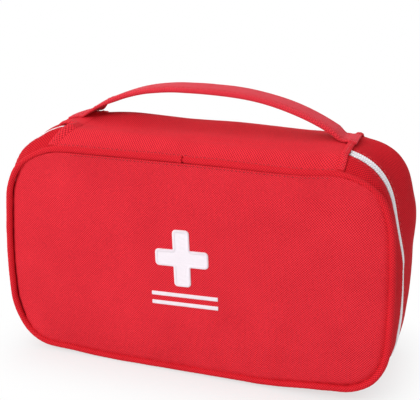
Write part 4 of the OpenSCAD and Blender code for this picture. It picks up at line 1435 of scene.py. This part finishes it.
def holed_plate(name, line, hole, radius, x_mid, thick, finish):
    """A plate with a round hole: rings from the rim of the hole to the outer rim on one face, over the edge
    and back on the other face. The hole's points lie in the directions of the outer points."""
    inner = hole + radius * unit(line - hole)
    share = np.array([0.0, 0.04, 0.3, 0.7, 0.96, 1.0, 1.0, 0.96, 0.7, 0.3, 0.04, 0.0])[:, None, None]
    level = thick * np.array([-0.3, -0.5, -0.5, -0.5, -0.5, -0.3, 0.3, 0.5, 0.5, 0.5, 0.5, 0.3])[:, None]
    flat = inner[None] + (line - inner)[None] * share
    rings = np.stack([x_mid + level + np.zeros(flat.shape[:2]), flat[:, :, 0], flat[:, :, 1]], -1)
    uv = np.pad(flat, ((0, 1), (0, 1), (0, 0)), mode="wrap")
    return skin(name, rings, uv, finish, closed=True, sharp=60)


finish_piece(
    holed_plate("pull_plate", body, np.array([zip_y, hole_z]), hole_r, bar_x, pull_t, slider_lacquer),
    "pull", "slider_metal", "zip_pull")
turn = np.linspace(0.0, 2 * math.pi, 36, endpoint=False)[:, None]
eye_y, eye_sink, eye_around = band(-eye_half, eye_half, eye_t, 8)
eye_r = eye_out - eye_sink[None, :]
eye_ring = np.stack(np.broadcast_arrays(
    bar_x + eye_r * np.cos(turn), zip_y + eye_y[None, :], slider_z + eye_r * np.sin(turn)), -1)
finish_piece(
    skin("pull_eye", eye_ring, grid(np.linspace(0, 7, 37), eye_around), slider_lacquer, closed=True),
    "pull", "slider_metal")

# %% [markdown]
# ## Floor, light and background
# The bag stands on a pale studio floor under soft light: one large lamp from the upper left in front, a
# weak one from above and an even sky. The floor and the sky are white to the camera, and the floor still
# shows the bag's shadow. A white picture could be laid behind the bag instead, but then the light from the
# floor would be missing on its foot.

# %% Studio
floor_reach, sky_level = 6000.0, 0.56
foot_box, white_after, foot_white = (0.090, 0.034, 0.0), 0.055, 0.64


def seen_directly(tree):
    """1 for the rays that the camera sees the surface with, also by reflection or through a pane, and 0 for
    the rest: the largest of three marks of the ray."""
    rays = put(tree, "LightPath", {})
    seen = calc(tree, "MAXIMUM", rays.outputs["Is Camera Ray"], rays.outputs["Is Glossy Ray"])
    return calc(tree, "MAXIMUM", seen, rays.outputs["Is Transmission Ray"])


def studio_floor():
    """A large square at the height 0, pale and tinted cyan as a painted counter to the red light that the bag
    throws on the floor beside it, and shown to the camera as plain white away from the bag's foot."""
    corners = np.array([[-1, -1, 0], [1, -1, 0], [1, 1, 0], [-1, 1, 0]]) * floor_reach
    made, tree, shader = new_finish("studio_floor", 0.9, Base_Color=(0.85, 0.92, 0.93, 1.0))
    white = put(tree, "Emission", {"Color": (1, 1, 1, 1), "Strength": 1.0})
    where = put(tree, "TexCoord", {}).outputs["Object"]
    apart = put(tree, "VectorMath", {0: where}, operation="ABSOLUTE").outputs[0]
    apart = put(tree, "VectorMath", {0: apart, 1: foot_box}, operation="SUBTRACT").outputs[0]
    apart = put(tree, "VectorMath", {0: apart, 1: (0.0, 0.0, 0.0)}, operation="MAXIMUM").outputs[0]
    away = put(tree, "VectorMath", {0: apart}, operation="LENGTH").outputs["Value"]
    fade = put(tree, "MapRange", {
        0: away, 1: 0.0, 2: white_after, 3: foot_white, 4: 1.0,
    }, interpolation_type="SMOOTHSTEP")
    mixed = put(tree, "MixShader", {0: calc(tree, "MULTIPLY", seen_directly(tree), fade.outputs[0])})
    tree.links.new(shader.outputs[0], mixed.inputs[1])
    tree.links.new(white.outputs[0], mixed.inputs[2])
    tree.links.new(mixed.outputs[0], tree.nodes["Material Output"].inputs[0])
    mesh = bpy.data.meshes.new("studio_floor")
    mesh.from_pydata((corners / MM_PER_METRE).tolist(), [], [(0, 1, 2, 3)])
    mesh.materials.append(made)
    floor = bpy.data.objects.new("studio_floor", mesh)
    scene.collection.objects.link(floor)


def soft_lamp(name, place, size, power):
    """A square lamp of the given size that faces the middle of the bag."""
    data = bpy.data.lights.new(name, "AREA")
    data.size, data.energy = size, power
    lamp = bpy.data.objects.new(name, data)
    lamp.location = place
    towards = np.array([0.0, 0.0, mid_z / MM_PER_METRE]) - np.array(place)
    yaw = math.atan2(towards[0], -towards[1])
    pitch = math.atan2(math.hypot(towards[0], towards[1]), -towards[2])
    lamp.rotation_euler = (pitch, 0.0, yaw + math.pi)
    scene.collection.objects.link(lamp)


studio_floor()
soft_lamp("key_lamp", (-0.85, -1.5, 1.25), 1.2, 22.6)
soft_lamp("top_lamp", (-0.3, 0.3, 1.6), 1.0, 5.5)

world = bpy.data.worlds.new("studio")
world.use_nodes = True
scene.world = world
sky = world.node_tree
strength = calc(sky, "MULTIPLY_ADD", seen_directly(sky), 1.0 - sky_level, sky_level)
sky.links.new(strength, sky.nodes["Background"].inputs["Strength"])
sky.nodes["Background"].inputs["Color"].default_value = (1.0, 1.0, 1.0, 1.0)
scene.view_settings.view_transform = "Standard"
